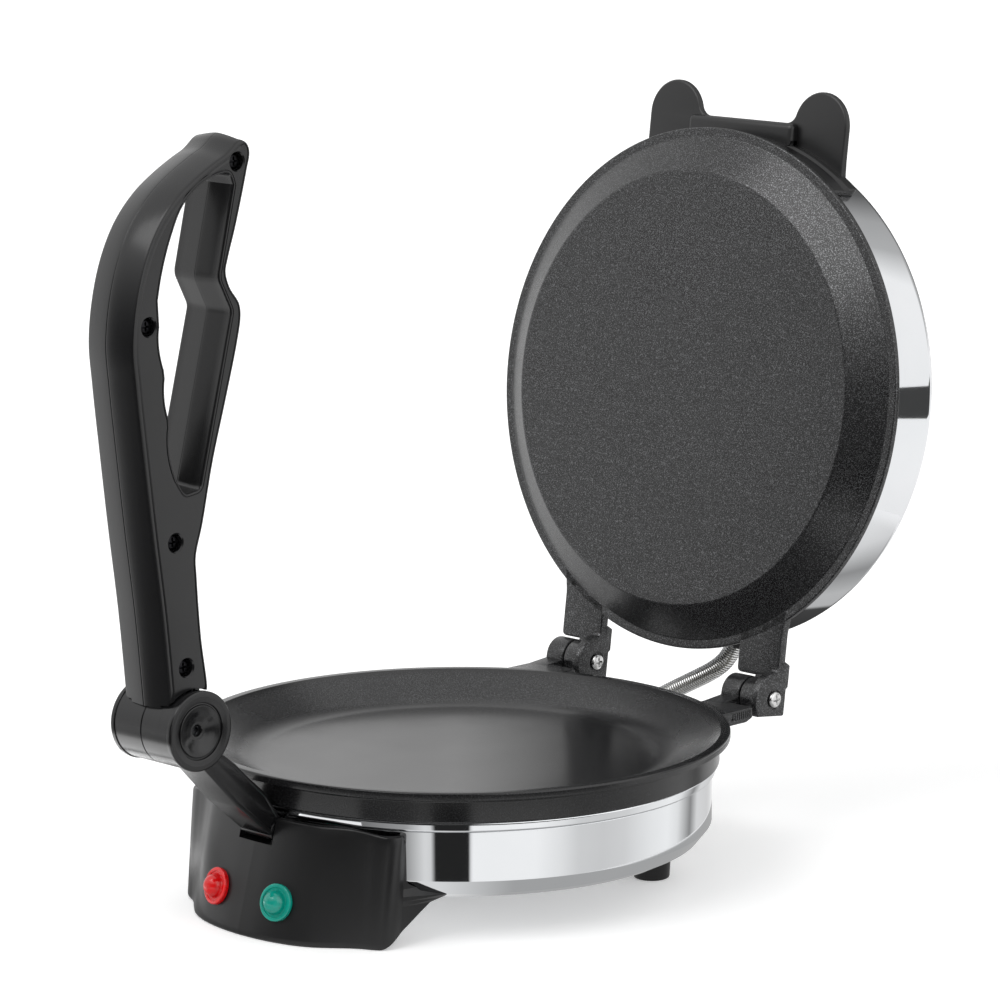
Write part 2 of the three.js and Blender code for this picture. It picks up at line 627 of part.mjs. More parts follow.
function housingPiece() {
  const { wall, footEdge, topEdge } = housing;
  const knees = [bevelFoot - housing.flangeDrop, bevelFoot, bandFoot];
  const outer = loft(housingLevels(
    [0, footEdge / 3, footEdge, ...knees, housingTop - topEdge, housingTop],
    [footEdge, footEdge / 3, 0, 0, 0, 0, 0, topEdge],
  ));
  const cavity = loft(housingLevels([wall, wall + footEdge, ...knees, housingTop - wall], [wall * 2, wall, wall, wall, wall, wall]));
  const bodyRoom = turned([
    [0, bodyFoot - touchGap], ...bodySkin(-touchGap).slice(0, -1), [bodyRadius + touchGap, housingTop + overrun],
    [0, housingTop + overrun],
  ], roundSegments);
  const heelY = -bodyRadius - housing.heelReach;
  const footY = -bodyRadius - housing.wingReachFoot + footEdge + touchGap;
  const behind = prismX([
    point(footY - overrun, -overrun), point(0, -overrun), point(0, bandFoot),
    point(heelY, bandFoot), point(heelY, bodyFoot + overrun / 2), point(footY, 0),
  ], -housing.heelHalf * 2, housing.heelHalf * 2);
  const foremost = bodyRadius + housing.frontFoot;
  const slotFoot = rimZ - housing.topDrop - slot.depth;
  const pocketHalf = slot.halfWidth + slot.cheek;
  const pocket = outer.intersect(box(-pocketHalf, pocketHalf, -foremost, 0, slotFoot - slot.floor, housingTop));
  const slotRoom = box(-slot.halfWidth, slot.halfWidth, -foremost, 0, slotFoot, housingTop + overrun);
  const pinLength = link.halfWidth + touchGap + link.pinGrip;
  const pinHole = alongX(
    rod(link.pinRadius + runningGap, -pinLength - touchGap, pinLength + touchGap, middleSegments), 0, pivotY, pivotZ,
  );
  let shell = join(cut(outer, cavity), pocket);
  for (const side of [-1, 1]) {
    const angle = side * housingScrew.angle;
    const height = rimZ - housingScrew.drop;
    const post = outwards(rod(housingScrew.bossRadius, 0, bodyRadius / 2), angle, bodyRadius, height);
    const pilot = outwards(rod(housingScrew.radius + runningGap, -overrun, housingScrew.length), angle, bodyRadius, height);
    const spot = lampFrame(side);
    const lensHole = aimed(rod(lamp.sleeveRadius + touchGap, -lamp.sleeveLength, overrun, middleSegments), spot.direction, spot.place);
    const lensSeat = aimed(rod(lamp.lensRadius + touchGap, -lamp.seatDepth, overrun, middleSegments), spot.direction, spot.place);
    shell = cut(join(shell, outer.intersect(post)), pilot, lensHole, lensSeat);
  }
  return cut(shell, bodyRoom, behind, slotRoom, pinHole);
}
rotiMaker.add(named('front_housing', housingPiece(), plastic));

for (const [name, side] of [['housing_screw_left', -1], ['housing_screw_right', 1]]) {
  const length = body.sheet + touchGap + housingScrew.length - touchGap;
  const piece = screw(housingScrew.radius, length, housingScrew.headRadius, housingScrew.headHeight).rotate([180, 0, 0]);
  const seat = (bodyRadius - body.sheet) * flatShare - touchGap;
  rotiMaker.add(named(name, outwards(piece, side * housingScrew.angle, seat, rimZ - housingScrew.drop), zinc));
}

// Signal lamps: a domed lens with a sleeve that snaps into the housing, and the neon lamp inside it
function lensPiece() {
  const base = touchGap - lamp.seatDepth;
  const front = base + lamp.lensFlange;
  const inner = lamp.sleeveRadius - lamp.sleeveWall;
  const dome = arc(lamp.domeRadius, 0, 0, 0, 90, 3).map((p) => [p.x, front + (p.y * lamp.domeHeight) / lamp.domeRadius]);
  dome[dome.length - 1][0] = 0;
  return turned([
    [inner, base - lamp.sleeveLength], [lamp.sleeveRadius, base - lamp.sleeveLength], [lamp.sleeveRadius, base],
    [lamp.lensRadius, base], [lamp.lensRadius, front - lamp.lensFlange / 2], [lamp.lensRadius - lamp.lensFlange / 2, front],
    ...dome, [0, front + lamp.domeHeight - lamp.domeWall], [inner, front],
  ], middleSegments);
}

function bulbPiece() {
  const top = lamp.lensFlange;
  const low = top - lamp.bulbLength;
  const neck = low + lamp.collarLength;
  const tip = arc(lamp.bulbRadius, 0, top - lamp.bulbRadius, 0, 90, 2).map((p) => [p.x, p.y]);
  tip[tip.length - 1][0] = 0;
  return turned([[0, low], [lamp.collarRadius, low], [lamp.collarRadius, neck], [lamp.bulbRadius, neck], ...tip]);
}

for (const [colour, side, look] of [['red', -1, redLens], ['green', 1, greenLens]]) {
  const spot = lampFrame(side);
  rotiMaker.add(named(`${colour}_lens`, aimed(lensPiece(), spot.direction, spot.place), look));
  rotiMaker.add(named(`${colour}_neon_lamp`, aimed(bulbPiece(), spot.direction, spot.place), bulbGlass));
}

// Link: an eye on the housing's pin, a flat bar, and the hub inside the handle's barrel
const linkUpperShares = [[0, 0.36], [0.117, 0.49], [0.221, 0.61], [0.353, 0.56], [0.538, 0.5], [0.665, 0.38], [0.9, 0.3]];
const linkLowerShares = [[0.9, -0.55], [0.718, -0.53], [0.356, -0.53], [0, -0.3]];
function linkPiece() {
  const reach = point(barrelY - pivotY, barrelZ - pivotZ);
  const bar = prismX([...linkUpperShares, ...linkLowerShares].map(([along, across]) => point(
    pivotY + reach.x * along + (reach.y / reach.length()) * link.thickness * across,
    pivotZ + reach.y * along - (reach.x / reach.length()) * link.thickness * across,
  )), -link.halfWidth, link.halfWidth);
  const eye = alongX(rod(link.eyeRadius, -link.halfWidth, link.halfWidth, middleSegments), 0, pivotY, pivotZ);
  const hub = alongX(rod(barrel.hubRadius, -link.halfWidth, link.halfWidth, middleSegments), 0, barrelY, barrelZ);
  const pinHole = alongX(rod(link.pinRadius + runningGap, -barrel.radius, barrel.radius, middleSegments), 0, pivotY, pivotZ);
  const axleHole = alongX(rod(barrel.axleRadius + runningGap, -barrel.radius, barrel.radius, middleSegments), 0, barrelY, barrelZ);
  return cut(join(bar, eye, hub), pinHole, axleHole);
}
rotiMaker.add(named('link_arm', linkPiece(), plastic));

function pinPiece(radius, halfLength, y, z) {
  return alongX(rod(radius, -halfLength, halfLength, middleSegments), 0, y, z);
}
const linkPinHalf = link.halfWidth + touchGap + link.pinGrip;
rotiMaker.add(named('link_pin', pinPiece(link.pinRadius, linkPinHalf, pivotY, pivotZ), zinc));
const axleHalf = link.halfWidth + barrel.hubGap + barrel.wallWidth;
rotiMaker.add(named('handle_axle', pinPiece(barrel.axleRadius, axleHalf, barrelY, barrelZ), zinc));

// Handle outline in shares of its depth and its reach: the back edge, the pan's side and the hand hole
const backShares = [
  [-0.205, 0.044], [-0.268, 0.199], [-0.352, 0.354], [-0.413, 0.478], [-0.47, 0.6], [-0.497, 0.7],
  [-0.455, 0.789], [-0.372, 0.847], [-0.247, 0.892], [-0.08, 0.934], [0.128, 0.967], [0.337, 0.988], [0.5, 1],
];
const panSideShares = [
  [0.578, 0.983], [0.545, 0.944], [0.445, 0.855], [0.348, 0.779], [0.398, 0.743], [0.47, 0.722], [0.487, 0.706],
  [0.445, 0.654], [0.337, 0.561], [0.212, 0.458], [0.112, 0.354], [0.045, 0.296], [0.053, 0.267], [0.087, 0.158],
  [0.137, 0.069],
];
const holeTopShares = [[0.378, 0.944], [0.195, 0.934], [-0.022, 0.897], [-0.138, 0.841], [-0.222, 0.789], [-0.272, 0.752]];
const fingerShares = [
  [[-0.247, 0.706], [-0.285, 0.668], [-0.205, 0.619]],
  [[-0.205, 0.619], [-0.24, 0.577], [-0.172, 0.536]],
  [[-0.172, 0.536], [-0.215, 0.487], [-0.122, 0.437]],
];
const holeFootShares = [[-0.022, 0.416], [0.087, 0.421], [0.112, 0.437], [0.398, 0.71], [0.278, 0.768], [0.428, 0.93]];
const screwShares = [[0.462, 0.963], [-0.347, 0.702], [-0.135, 0.329], [-0.052, 0.11]];

function handlePoint([depthShare, reachShare]) {
  return point(depthShare * handle.depth, reachShare * handle.reach);
}

function handleOutline(rise) {
  const back = new THREE.SplineCurve(backShares.map(handlePoint)).getPoints(backShares.length + 6);
  const raised = back.map((corner, index) => {
    const before = back[Math.max(index - 1, 0)];
    const after = back[Math.min(index + 1, back.length - 1)];
    const run = after.clone().sub(before).normalize();
    return point(corner.x - run.y * rise, corner.y + run.x * rise);
  });
  const foot = point(0, -barrel.hubRadius);
  return [foot, ...raised, ...panSideShares.map(handlePoint)].reverse();
}

function handleHole() {
  const fingers = fingerShares.flatMap((shares) => {
    const [from, bend, to] = shares.map(handlePoint);
    return new THREE.QuadraticBezierCurve(from, bend, to).getPoints(3).slice(0, -1);
  });
  return [...holeTopShares.map(handlePoint), ...fingers, handlePoint([-0.122, 0.437]), ...holeFootShares.map(handlePoint)];
}

function edgeAt(edge, height) {
  for (let index = 1; index < edge.length; index += 1) {
    const [from, to] = [edge[index - 1], edge[index]];
    if ((from.y - height) * (to.y - height) <= 0) {
      return mix(from.x, to.x, (height - from.y) / (to.y - from.y));
    }
  }
  return edge[0].x;
}

// Pocket in the parting face between two edges of the outline, over a stretch of the reach
const stemPocketShares = [0.15, 0.22, 0.29, 0.36, 0.4];
const gripPocketShares = [0.47, 0.54, 0.6, 0.66, 0.73];
function handlePocket(reachShares, back, front, from, to) {
  const heights = reachShares.map((share) => share * handle.reach);
  const left = heights.map((height) => point(edgeAt(back, height) + handle.pocketWall, height));
  const right = heights.map((height) => point(edgeAt(front, height) - handle.pocketWall, height)).reverse();
  return prismX([...left, ...right], from, to);
}

function handleShell(side) {
  const plain = handleOutline(0);
  const crest = handleOutline(handle.crownRise);
  const crown = handleOutline(handle.crownRise * handle.crownShare);
  const hole = handleHole();
  const level = (x, outline) => ({ rings: [outline, [...hole].reverse()], place: (corner) => [x, corner.x, corner.y] });
  const outer = loft([
    level(handle.splitGap, crest), level(handle.crownHalf, crown), level(handle.halfWidth, plain),
  ]);
  const barrelEnd = barrel.halfLength - cap.flange - touchGap;
  const innerWall = link.halfWidth + barrel.hubGap;
  const round = (radius, low, high) => alongX(rod(radius, low, high, middleSegments), 0, 0, 0);
  const drum = round(barrel.radius, handle.splitGap, barrelEnd);
  const relief = cut(
    round(barrel.radius + barrel.reliefWidth, handle.halfWidth - barrel.reliefDepth, handle.halfWidth + overrun),
    round(barrel.radius - touchGap, 0, handle.halfWidth + overrun * 2),
  );
  const hubRoom = round(barrel.hubRadius + barrel.hubGap, 0, innerWall);
  const capRoom = round(cap.spigot + touchGap, innerWall + barrel.wallWidth, barrel.halfLength + overrun);
  const axleHole = alongX(rod(barrel.axleRadius + runningGap, 0, barrel.halfLength, middleSegments), 0, 0, 0);
  const windowArc = arc(barrel.radius + overrun, 0, 0, barrel.windowStart, barrel.windowEnd, 12);
  const windowRoom = prismX([point(0, 0), ...windowArc], 0, innerWall);
  const pocketDepth = handle.halfWidth - handle.pocketWall;
  const backEdge = plain.slice(panSideShares.length).reverse();
  const panEdge = panSideShares.map(handlePoint);
  const posts = [];
  const bores = [];
  for (const shares of screwShares) {
    const place = handlePoint(shares);
    const at = (shape) => alongX(shape, 0, place.x, place.y);
    const screwHoleEnd = side > 0 ? handle.halfWidth : handle.screwLength - handle.halfWidth + handle.boreDepth;
    posts.push(at(rod(handle.bossRadius, 0, handle.halfWidth)));
    bores.push(at(rod(handle.screwRadius + runningGap, 0, screwHoleEnd)));
    if (side > 0) bores.push(at(rod(handle.boreRadius, handle.halfWidth - handle.boreDepth, handle.halfWidth + overrun)));
  }
  const pockets = join(
    handlePocket(stemPocketShares, backEdge, panEdge, 0, pocketDepth),
    handlePocket(gripPocketShares, backEdge, handleHole(), 0, pocketDepth),
  );
  const body_ = join(cut(outer, relief, drum), drum);
  const half = cut(body_, cut(pockets, ...posts, drum), hubRoom, capRoom, axleHole, windowRoom, ...bores);
  return side > 0 ? half : half.mirror([1, 0, 0]);
}

const handleGroup = new THREE.Group();
handleGroup.position.set(0, barrelY, barrelZ);
rotiMaker.add(handleGroup);
handleGroup.add(named('handle_shell_right', handleShell(1), plastic));
handleGroup.add(named('handle_shell_left', handleShell(-1), plastic));

screwShares.forEach((shares, index) => {
  const piece = screw(handle.screwRadius, handle.screwLength, handle.headRadius, handle.headHeight);
  const place = handlePoint(shares);
  const seat = handle.halfWidth - handle.boreDepth + touchGap;
  handleGroup.add(named(`handle_screw_${index + 1}`, alongX(piece, seat, place.x, place.y), zinc));
});

// Barrel caps with a rim, a groove and a dished centre
function capPiece() {
  const { radius, flange, spigot, edge, dishRadius, grooveWidth, grooveDepth, dishRise, dishDepth, holeRadius, holeRim } = cap;
  const spigotLength = barrel.halfLength - flange - link.halfWidth - barrel.hubGap - barrel.wallWidth - touchGap;
  return turned([
    [holeRadius, -spigotLength], [spigot, -spigotLength], [spigot, 0], [radius, 0], [radius, flange - edge],
    [radius - edge, flange], [dishRadius + grooveWidth, flange], [dishRadius, flange - grooveDepth],
    [dishRadius - grooveWidth, flange - dishRise], [holeRadius + holeRim, flange - dishDepth],
    [holeRadius, flange - dishDepth],
  ], middleSegments);
}
for (const [name, side] of [['barrel_cap_left', -1], ['barrel_cap_right', 1]]) {
  const piece = alongX(capPiece(), barrel.halfLength - cap.flange, 0, 0);
  handleGroup.add(named(name, side > 0 ? piece : piece.mirror([1, 0, 0]), plastic));
}

// Upper plate: a raised cooking face, a flange, and two arms that end in hinge knuckles
function hingeArm(left) {
  const right = left + hinge.width;
  const { armEnd, armCorner, armRoot, armFlare, armThickness, planeRise } = lid;
  const blade = prismZ([
    point(left, -armEnd - armCorner), point(left, -armRoot / 2), point(left - armFlare, -armRoot), point(right + armFlare, -armRoot),
    point(right, -armRoot / 2), point(right, -armEnd - armCorner), point(right - armCorner, -armEnd), point(left + armCorner, -armEnd),
  ], planeRise, planeRise + armThickness);
  const coverRoom = rod(coverRadius + touchGap, plateBack, plateBack + armThickness * 2, roundSegments)
    .translate([0, -hingeY, 0]);
  const plateRoom = rod(shoulderRadius - lid.thickness, -lid.plateauDepth, lid.plateauDepth, roundSegments)
    .translate([0, -hingeY, 0]);
  const rear = [
    point(-heel.reach, planeRise), point(heel.end, -heel.round), point(heel.end, heel.rise - heel.round),
    point(heel.end - heel.round, heel.rise), point(-heel.stepStart + heel.round, heel.rise),
    point(-heel.stepStart, heel.stepRise), point(-heel.stepEnd, heel.stepRise), point(-heel.reach, planeRise + armThickness),
  ];
  const knuckleStart = left + hinge.lowerWidth + hinge.sideGap;
  const cheekStart = right - hinge.cheekWidth;
  const lobe = (radius, from, to) => {
    const disc = alongX(rod(radius, 0, to - from, middleSegments), from, 0, 0);
    const end = box(from - overrun, to + overrun, heel.end, radius * 2, -radius * 2, radius * 2);
    const rearSide = box(from - overrun, to + overrun, -radius * 2, radius * 2, heel.rise, radius * 2);
    return cut(disc, end, rearSide);
  };
  const knuckle = join(
    prismX(rear, knuckleStart, right), lobe(hinge.knuckleRadius, knuckleStart, right), lobe(hinge.cheekRadius, cheekStart, right),
  );
  const bore = alongX(rod(hinge.screwRadius + runningGap, -overrun, hinge.width, middleSegments), knuckleStart, 0, 0);
  const recess = alongX(rod(hinge.recessRadius, -hinge.headRecess, overrun, middleSegments), right, 0, 0);
  return cut(join(cut(blade, coverRoom, plateRoom), knuckle), bore, recess);
}

function upperPlate() {
  const plane = lid.planeRise;
  const locator = coverRadius - cover.sheet - touchGap;
  const plate = turned([
    [0, plane - lid.plateauDepth], [plateauRadius - lid.plateauEdge, plane - lid.plateauDepth],
    [plateauRadius + lid.plateauEdge / 2, plane - lid.plateauDepth + lid.plateauEdge],
    [shoulderRadius - lid.edge, plane - lid.edge], [shoulderRadius, plane], [lidRadius - lid.edge, plane],
    [lidRadius, plane + lid.edge], [lidRadius, plateBack - lid.edge], [lidRadius - lid.edge, plateBack],
    [locator, plateBack], [locator, plateBack + lid.locatorHeight], [locator - lid.locatorWall, plateBack + lid.locatorHeight],
    [locator - lid.locatorWall, plateBack - lid.edge], [plateauRadius - lid.thickness / 2, upperBack], [0, upperBack],
  ], roundSegments).translate([0, -hingeY, 0]);
  const bosses = heaterBosses(lid.thickness / 2).translate([0, -hingeY, upperBack]);
  return join(plate, ...hingeSides().map(hingeArm), bosses);
}
lidGroup.add(named('upper_plate', upperPlate(), nonstick));

// Lid cover: a drawn steel cup with a rounded edge
function conduitLidPlace(away) {
  const reach = radialReach(conduit.lidX, coverRadius);
  const local = new THREE.Vector3(conduit.lidX, reach - hingeY, lid.planeRise + conduit.lidRise);
  const world = local.applyAxisAngle(new THREE.Vector3(1, 0, 0), -lidOpenAngle * deg);
  return world.add(new THREE.Vector3(0, hingeY, hingeZ)).addScaledVector(conduitLean, -away);
}

function toLid(shape) {
  return shape.translate([0, -hingeY, -hingeZ]).rotate([lidOpenAngle, 0, 0]);
}

function coverSkin(offset) {
  const low = plateBack + touchGap;
  const high = low + cover.height - offset;
  const round = cover.round - offset;
  const centre = coverRadius - cover.round;
  const edge = arc(round, centre, high - round, 0, 90, offset > 0 ? 2 : 5).map((p) => [p.x, p.y]);
  return [[coverRadius - offset, low], ...edge, [coverRadius * cover.crownShare, high + cover.crown * 0.8], [0, high + cover.crown]];
}

function coverPiece() {
  const shell = turned([...coverSkin(0), ...coverSkin(cover.sheet).reverse()], roundSegments).translate([0, -hingeY, 0]);
  const holes = [-1, 1].map((side) => outwards(
    rod(saddleScrew.radius + touchGap, -overrun, overrun), side * saddleScrew.angle, coverRadius, lid.planeRise + saddleScrew.rise,
  ).translate([0, -hingeY, 0]));
  const conduitHole = toLid(aimed(rod(conduit.sleeveRadius + touchGap, -overrun * 2, overrun * 2, middleSegments), conduitLean, conduitLidPlace(0)));
  return cut(shell, ...holes, conduitHole);
}
lidGroup.add(named('lid_cover', coverPiece(), steel));

// Press saddle
function saddlePiece() {
  const low = plateBack + touchGap;
  const inner = coverRadius + touchGap;
  const hoopRadius = coverRadius + saddle.hoopWall;
  const hoopFrontRadius = coverRadius + saddle.hoopFrontWall;
  const tabReach = coverRadius + saddle.tabStand;
  const barReach = coverRadius + saddle.barStand;
  const top = lid.planeRise + saddle.tabRise + saddle.tabThickness;
  const hoop = turned([
    [inner, low], [hoopFrontRadius, low], [hoopFrontRadius, low + saddle.hoopFront],
    [hoopRadius, low + saddle.hoopFront + hoopRadius - hoopFrontRadius],
    [hoopRadius, top], [inner, top],
  ], roundSegments);
  const spread = tabReach * 2;
  const half = saddle.hoopHalfAngle * deg;
  const sector = prismZ([
    point(0, 0), point(-spread * Math.sin(half), -spread * Math.cos(half)), point(spread * Math.sin(half), -spread * Math.cos(half)),
  ], low - overrun, top + overrun);
  const barBack = hoopRadius - saddle.barHeight / 2;
  const barLow = lid.planeRise + saddle.barRise;
  const barHigh = barLow + saddle.barHeight;
  const barCentre = -barReach + saddle.barRound;
  const bar = prismX([
    point(-barBack, barLow), point(-barBack, barHigh), ...arc(saddle.barRound, barCentre, barHigh - saddle.barRound, 90, 180, 4),
    ...arc(saddle.barRound, barCentre, barLow + saddle.barRound, 180, 270, 4),
  ].reverse(), -saddle.barHalfLength, saddle.barHalfLength);
  const tabs = [-1, 1].map((side) => {
    const centre = tabReach - saddle.tabHalfWidth;
    const innerEdge = saddle.tabX - saddle.tabHalfWidth;
    const fillet = arc(saddle.tabFillet, innerEdge - saddle.tabFillet, barReach + saddle.tabFillet, -90, 0, 4);
    const outline = [
      point(innerEdge - saddle.tabFillet, barBack), ...fillet,
      ...arc(saddle.tabHalfWidth, saddle.tabX, centre, 180, 0, 16), point(saddle.tabX + saddle.tabHalfWidth, barBack * 0.8),
      point(innerEdge, barBack * 0.8),
    ];
    const placed = outline.map((corner) => point(side * corner.x, -corner.y));
    return prismZ(side > 0 ? placed : placed.reverse(), top - saddle.tabThickness, top);
  });
  const coverRoom = rod(inner, low - overrun, top + overrun, roundSegments);
  const pilots = [-1, 1].map((side) => outwards(
    rod(saddleScrew.radius + runningGap, -overrun, saddleScrew.length), side * saddleScrew.angle, coverRadius,
    lid.planeRise + saddleScrew.rise,
  ));
  return cut(join(hoop.intersect(sector), bar, ...tabs), coverRoom, ...pilots).translate([0, -hingeY, 0]);
}
lidGroup.add(named('press_saddle', saddlePiece(), plastic));

for (const [name, side] of [['saddle_screw_left', -1], ['saddle_screw_right', 1]]) {
  const length = cover.sheet + saddleScrew.length;
  const piece = screw(saddleScrew.radius, length, saddleScrew.headRadius, saddleScrew.headHeight).rotate([180, 0, 0]);
  const seat = (coverRadius - cover.sheet) * flatShare - touchGap;
  const placed = outwards(piece, side * saddleScrew.angle, seat, lid.planeRise + saddleScrew.rise);
  lidGroup.add(named(name, placed.translate([0, -hingeY, 0]), zinc));
}

// Hinge screws, driven from the +X side through the lid's knuckle into the plate's
hingeSides().forEach((left, index) => {
  const seat = left + hinge.width - hinge.headRecess + touchGap;
  const length = seat - left - hinge.screwEnd - touchGap;
  const piece = screw(hinge.screwRadius, length, hinge.headRadius, hinge.headHeight, middleSegments);
  rotiMaker.add(named(`hinge_screw_${['left', 'right'][index]}`, alongX(piece, seat, hingeY, hingeZ), zinc));
});

// Conduit: short sleeves in the body and the cover, the wound spring between them, and the wires inside
const straightRun = 2 * conduit.radius;

function conduitPath(inside) {
  const start = conduitLowerPlace(conduit.sleeveOut + touchGap + conduit.wireRadius - inside);
  const end = conduitLidPlace(conduit.sleeveOut + touchGap + conduit.wireRadius - inside);
  const leave = start.clone().addScaledVector(conduitLowerDirection(), straightRun + inside);
  const arrive = end.clone().addScaledVector(conduitLean, -straightRun - inside);
  const crest = new THREE.Vector3(conduit.crestX, hingeY + conduit.crestBehind, rimZ + conduit.crestRise);
  const after = (place, direction, distance) => place.clone().addScaledVector(direction, distance);
  const path = new THREE.CurvePath();
  path.add(new THREE.LineCurve3(start, leave));
  path.add(new THREE.CubicBezierCurve3(
    leave, after(leave, conduitLowerDirection(), conduit.longBow), after(crest, conduitCrestLean, -conduit.longBow), crest,
  ));
  path.add(new THREE.CubicBezierCurve3(
    crest, after(crest, conduitCrestLean, conduit.shortBow), after(arrive, conduitLean, -conduit.shortBow), arrive,
  ));
  path.add(new THREE.LineCurve3(arrive, end));
  return path;
}

function sleevePiece() {
  return turned([
    [conduit.sleeveBore, -conduit.sleeveIn], [conduit.sleeveRadius, -conduit.sleeveIn],
    [conduit.sleeveRadius, conduit.sleeveOut], [conduit.sleeveBore, conduit.sleeveOut],
  ], middleSegments);
}
const lidSleeve = aimed(sleevePiece(), conduitLean.clone().negate(), conduitLidPlace(0));
rotiMaker.add(named('conduit_sleeve_body', aimed(sleevePiece(), conduitLowerDirection(), conduitLowerPlace(0)), plastic));
lidGroup.add(named('conduit_sleeve_lid', toLid(lidSleeve), plastic));

// Frames that follow a path without twisting: a place, and two directions square to the path
function steadyFrames(places) {
  const frames = [];
  let across = new THREE.Vector3(0, 0, 1);
  places.forEach((place, index) => {
    const before = places[Math.max(index - 1, 0)];
    const after = places[Math.min(index + 1, places.length - 1)];
    const run = after.clone().sub(before).normalize();
    across = across.clone().addScaledVector(run, -across.dot(run)).normalize();
    frames.push({ place, across, up: run.clone().cross(across) });
  });
  return frames;
}

function springPiece() {
  const path = conduitPath(0);
  const steps = conduit.curls * conduit.curlSteps;
  const places = path.getSpacedPoints(steps);
  const coilRadius = conduit.radius - conduit.wireRadius;
  const wire = steadyFrames(places).map(({ place, across, up }, index) => {
    const angle = (index / conduit.curlSteps) * 2 * Math.PI;
    return place.clone().addScaledVector(across, coilRadius * Math.cos(angle)).addScaledVector(up, coilRadius * Math.sin(angle));
  });
  let least = Infinity;
  for (let i = 0; i < wire.length; i += 1) {
    for (let j = i + conduit.curlSteps / 2; j < wire.length; j += 1) least = Math.min(least, wire[i].distanceTo(wire[j]));
  }
  console.log(`conduit spring: least gap between turns ${(least - 2 * conduit.wireRadius).toFixed(2)} mm`);
  const frames = steadyFrames(wire);
  const corners = [];
  const faces = [];
  const sides = conduit.wireSides;
  for (const { place, across, up } of frames) {
    for (let side = 0; side < sides; side += 1) {
      const angle = (side / sides) * 2 * Math.PI;
      const corner = place.clone().addScaledVector(across, conduit.wireRadius * Math.cos(angle));
      corners.push(...corner.addScaledVector(up, conduit.wireRadius * Math.sin(angle)));
    }
  }
  for (let ring = 0; ring < frames.length - 1; ring += 1) {
    for (let side = 0; side < sides; side += 1) {
      const low = ring * sides + side;
      const next = ring * sides + ((side + 1) % sides);
      faces.push(low, next, next + sides, low, next + sides, low + sides);
    }
  }
  const last = (frames.length - 1) * sides;
  for (let side = 1; side < sides - 1; side += 1) faces.push(0, side + 1, side, last, last + side, last + side + 1);
  const geometry = new THREE.BufferGeometry();
  geometry.setAttribute('position', new THREE.Float32BufferAttribute(corners, 3));
  geometry.setIndex(faces);
  geometry.computeVertexNormals();
  return geometry;
}
rotiMaker.add(named('conduit_spring', springPiece(), zinc));

function lidWires() {
  const section = new THREE.Shape(arc(conduit.coreRadius, 0, 0, 0, 360 - 360 / conduit.coreSides, conduit.coreSides - 1));
  const path = conduitPath(conduit.sleeveOut);
  return solid(new THREE.ExtrudeGeometry(section, { steps: conduit.coreSteps, extrudePath: path, bevelEnabled: false }));
}
rotiMaker.add(named('lid_wires', lidWires(), wireSleeve));

export default rotiMaker;
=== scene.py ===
import math

import bmesh
import bpy
import numpy as np
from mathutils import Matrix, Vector, geometry


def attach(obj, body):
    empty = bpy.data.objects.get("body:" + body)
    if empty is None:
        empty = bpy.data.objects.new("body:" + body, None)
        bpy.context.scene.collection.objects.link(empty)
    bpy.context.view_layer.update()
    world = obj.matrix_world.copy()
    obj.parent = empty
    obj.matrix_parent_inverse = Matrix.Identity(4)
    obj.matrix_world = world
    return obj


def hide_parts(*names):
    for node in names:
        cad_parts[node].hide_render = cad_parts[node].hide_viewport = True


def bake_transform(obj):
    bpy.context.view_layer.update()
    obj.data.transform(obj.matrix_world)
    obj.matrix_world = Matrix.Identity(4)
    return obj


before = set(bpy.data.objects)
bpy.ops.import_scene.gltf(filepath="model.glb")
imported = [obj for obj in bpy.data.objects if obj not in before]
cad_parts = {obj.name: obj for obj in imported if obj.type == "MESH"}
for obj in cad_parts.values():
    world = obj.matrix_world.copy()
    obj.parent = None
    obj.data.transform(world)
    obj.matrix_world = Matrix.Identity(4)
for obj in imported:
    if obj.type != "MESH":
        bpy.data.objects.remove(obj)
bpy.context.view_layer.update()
print("frame loaded")

mm = 0.001


# materials

def linear(hexColour):
    # sRGB hex to the linear values that the shaders take
    parts = [int(hexColour[i:i + 2], 16) / 255 for i in (1, 3, 5)]
    return tuple(p / 12.92 if p <= 0.04045 else ((p + 0.055) / 1.055) ** 2.4 for p in parts) + (1.0,)


def emptyTree(owner):
    owner.use_nodes = True
    owner.node_tree.nodes.clear()
    return owner.node_tree


def addNode(tree, kind, sockets=(), **settings):
    # one shader node with its settings; its sockets go by name or place, or in their own order,
    # and each gets a value or a link from another node's output
    node = tree.nodes.new("ShaderNode" + kind)
    for name, value in settings.items():
        setattr(node, name, value)
    for name, value in sockets.items() if isinstance(sockets, dict) else enumerate(sockets):
        if isinstance(value, bpy.types.NodeSocket):
            tree.links.new(value, node.inputs[name])
        else:
            node.inputs[name].default_value = value
    return node


noiseSpan = (0.35, 0.65)  # most of a noise texture's values lie here
# a calm coating: over blur its flecks come back, and the lip between rise and fall has few of them
calmRing = dict(blur=14, rise=(111, 115), fall=(120.5, 122), lipShare=0.15, grainShare=0.25)


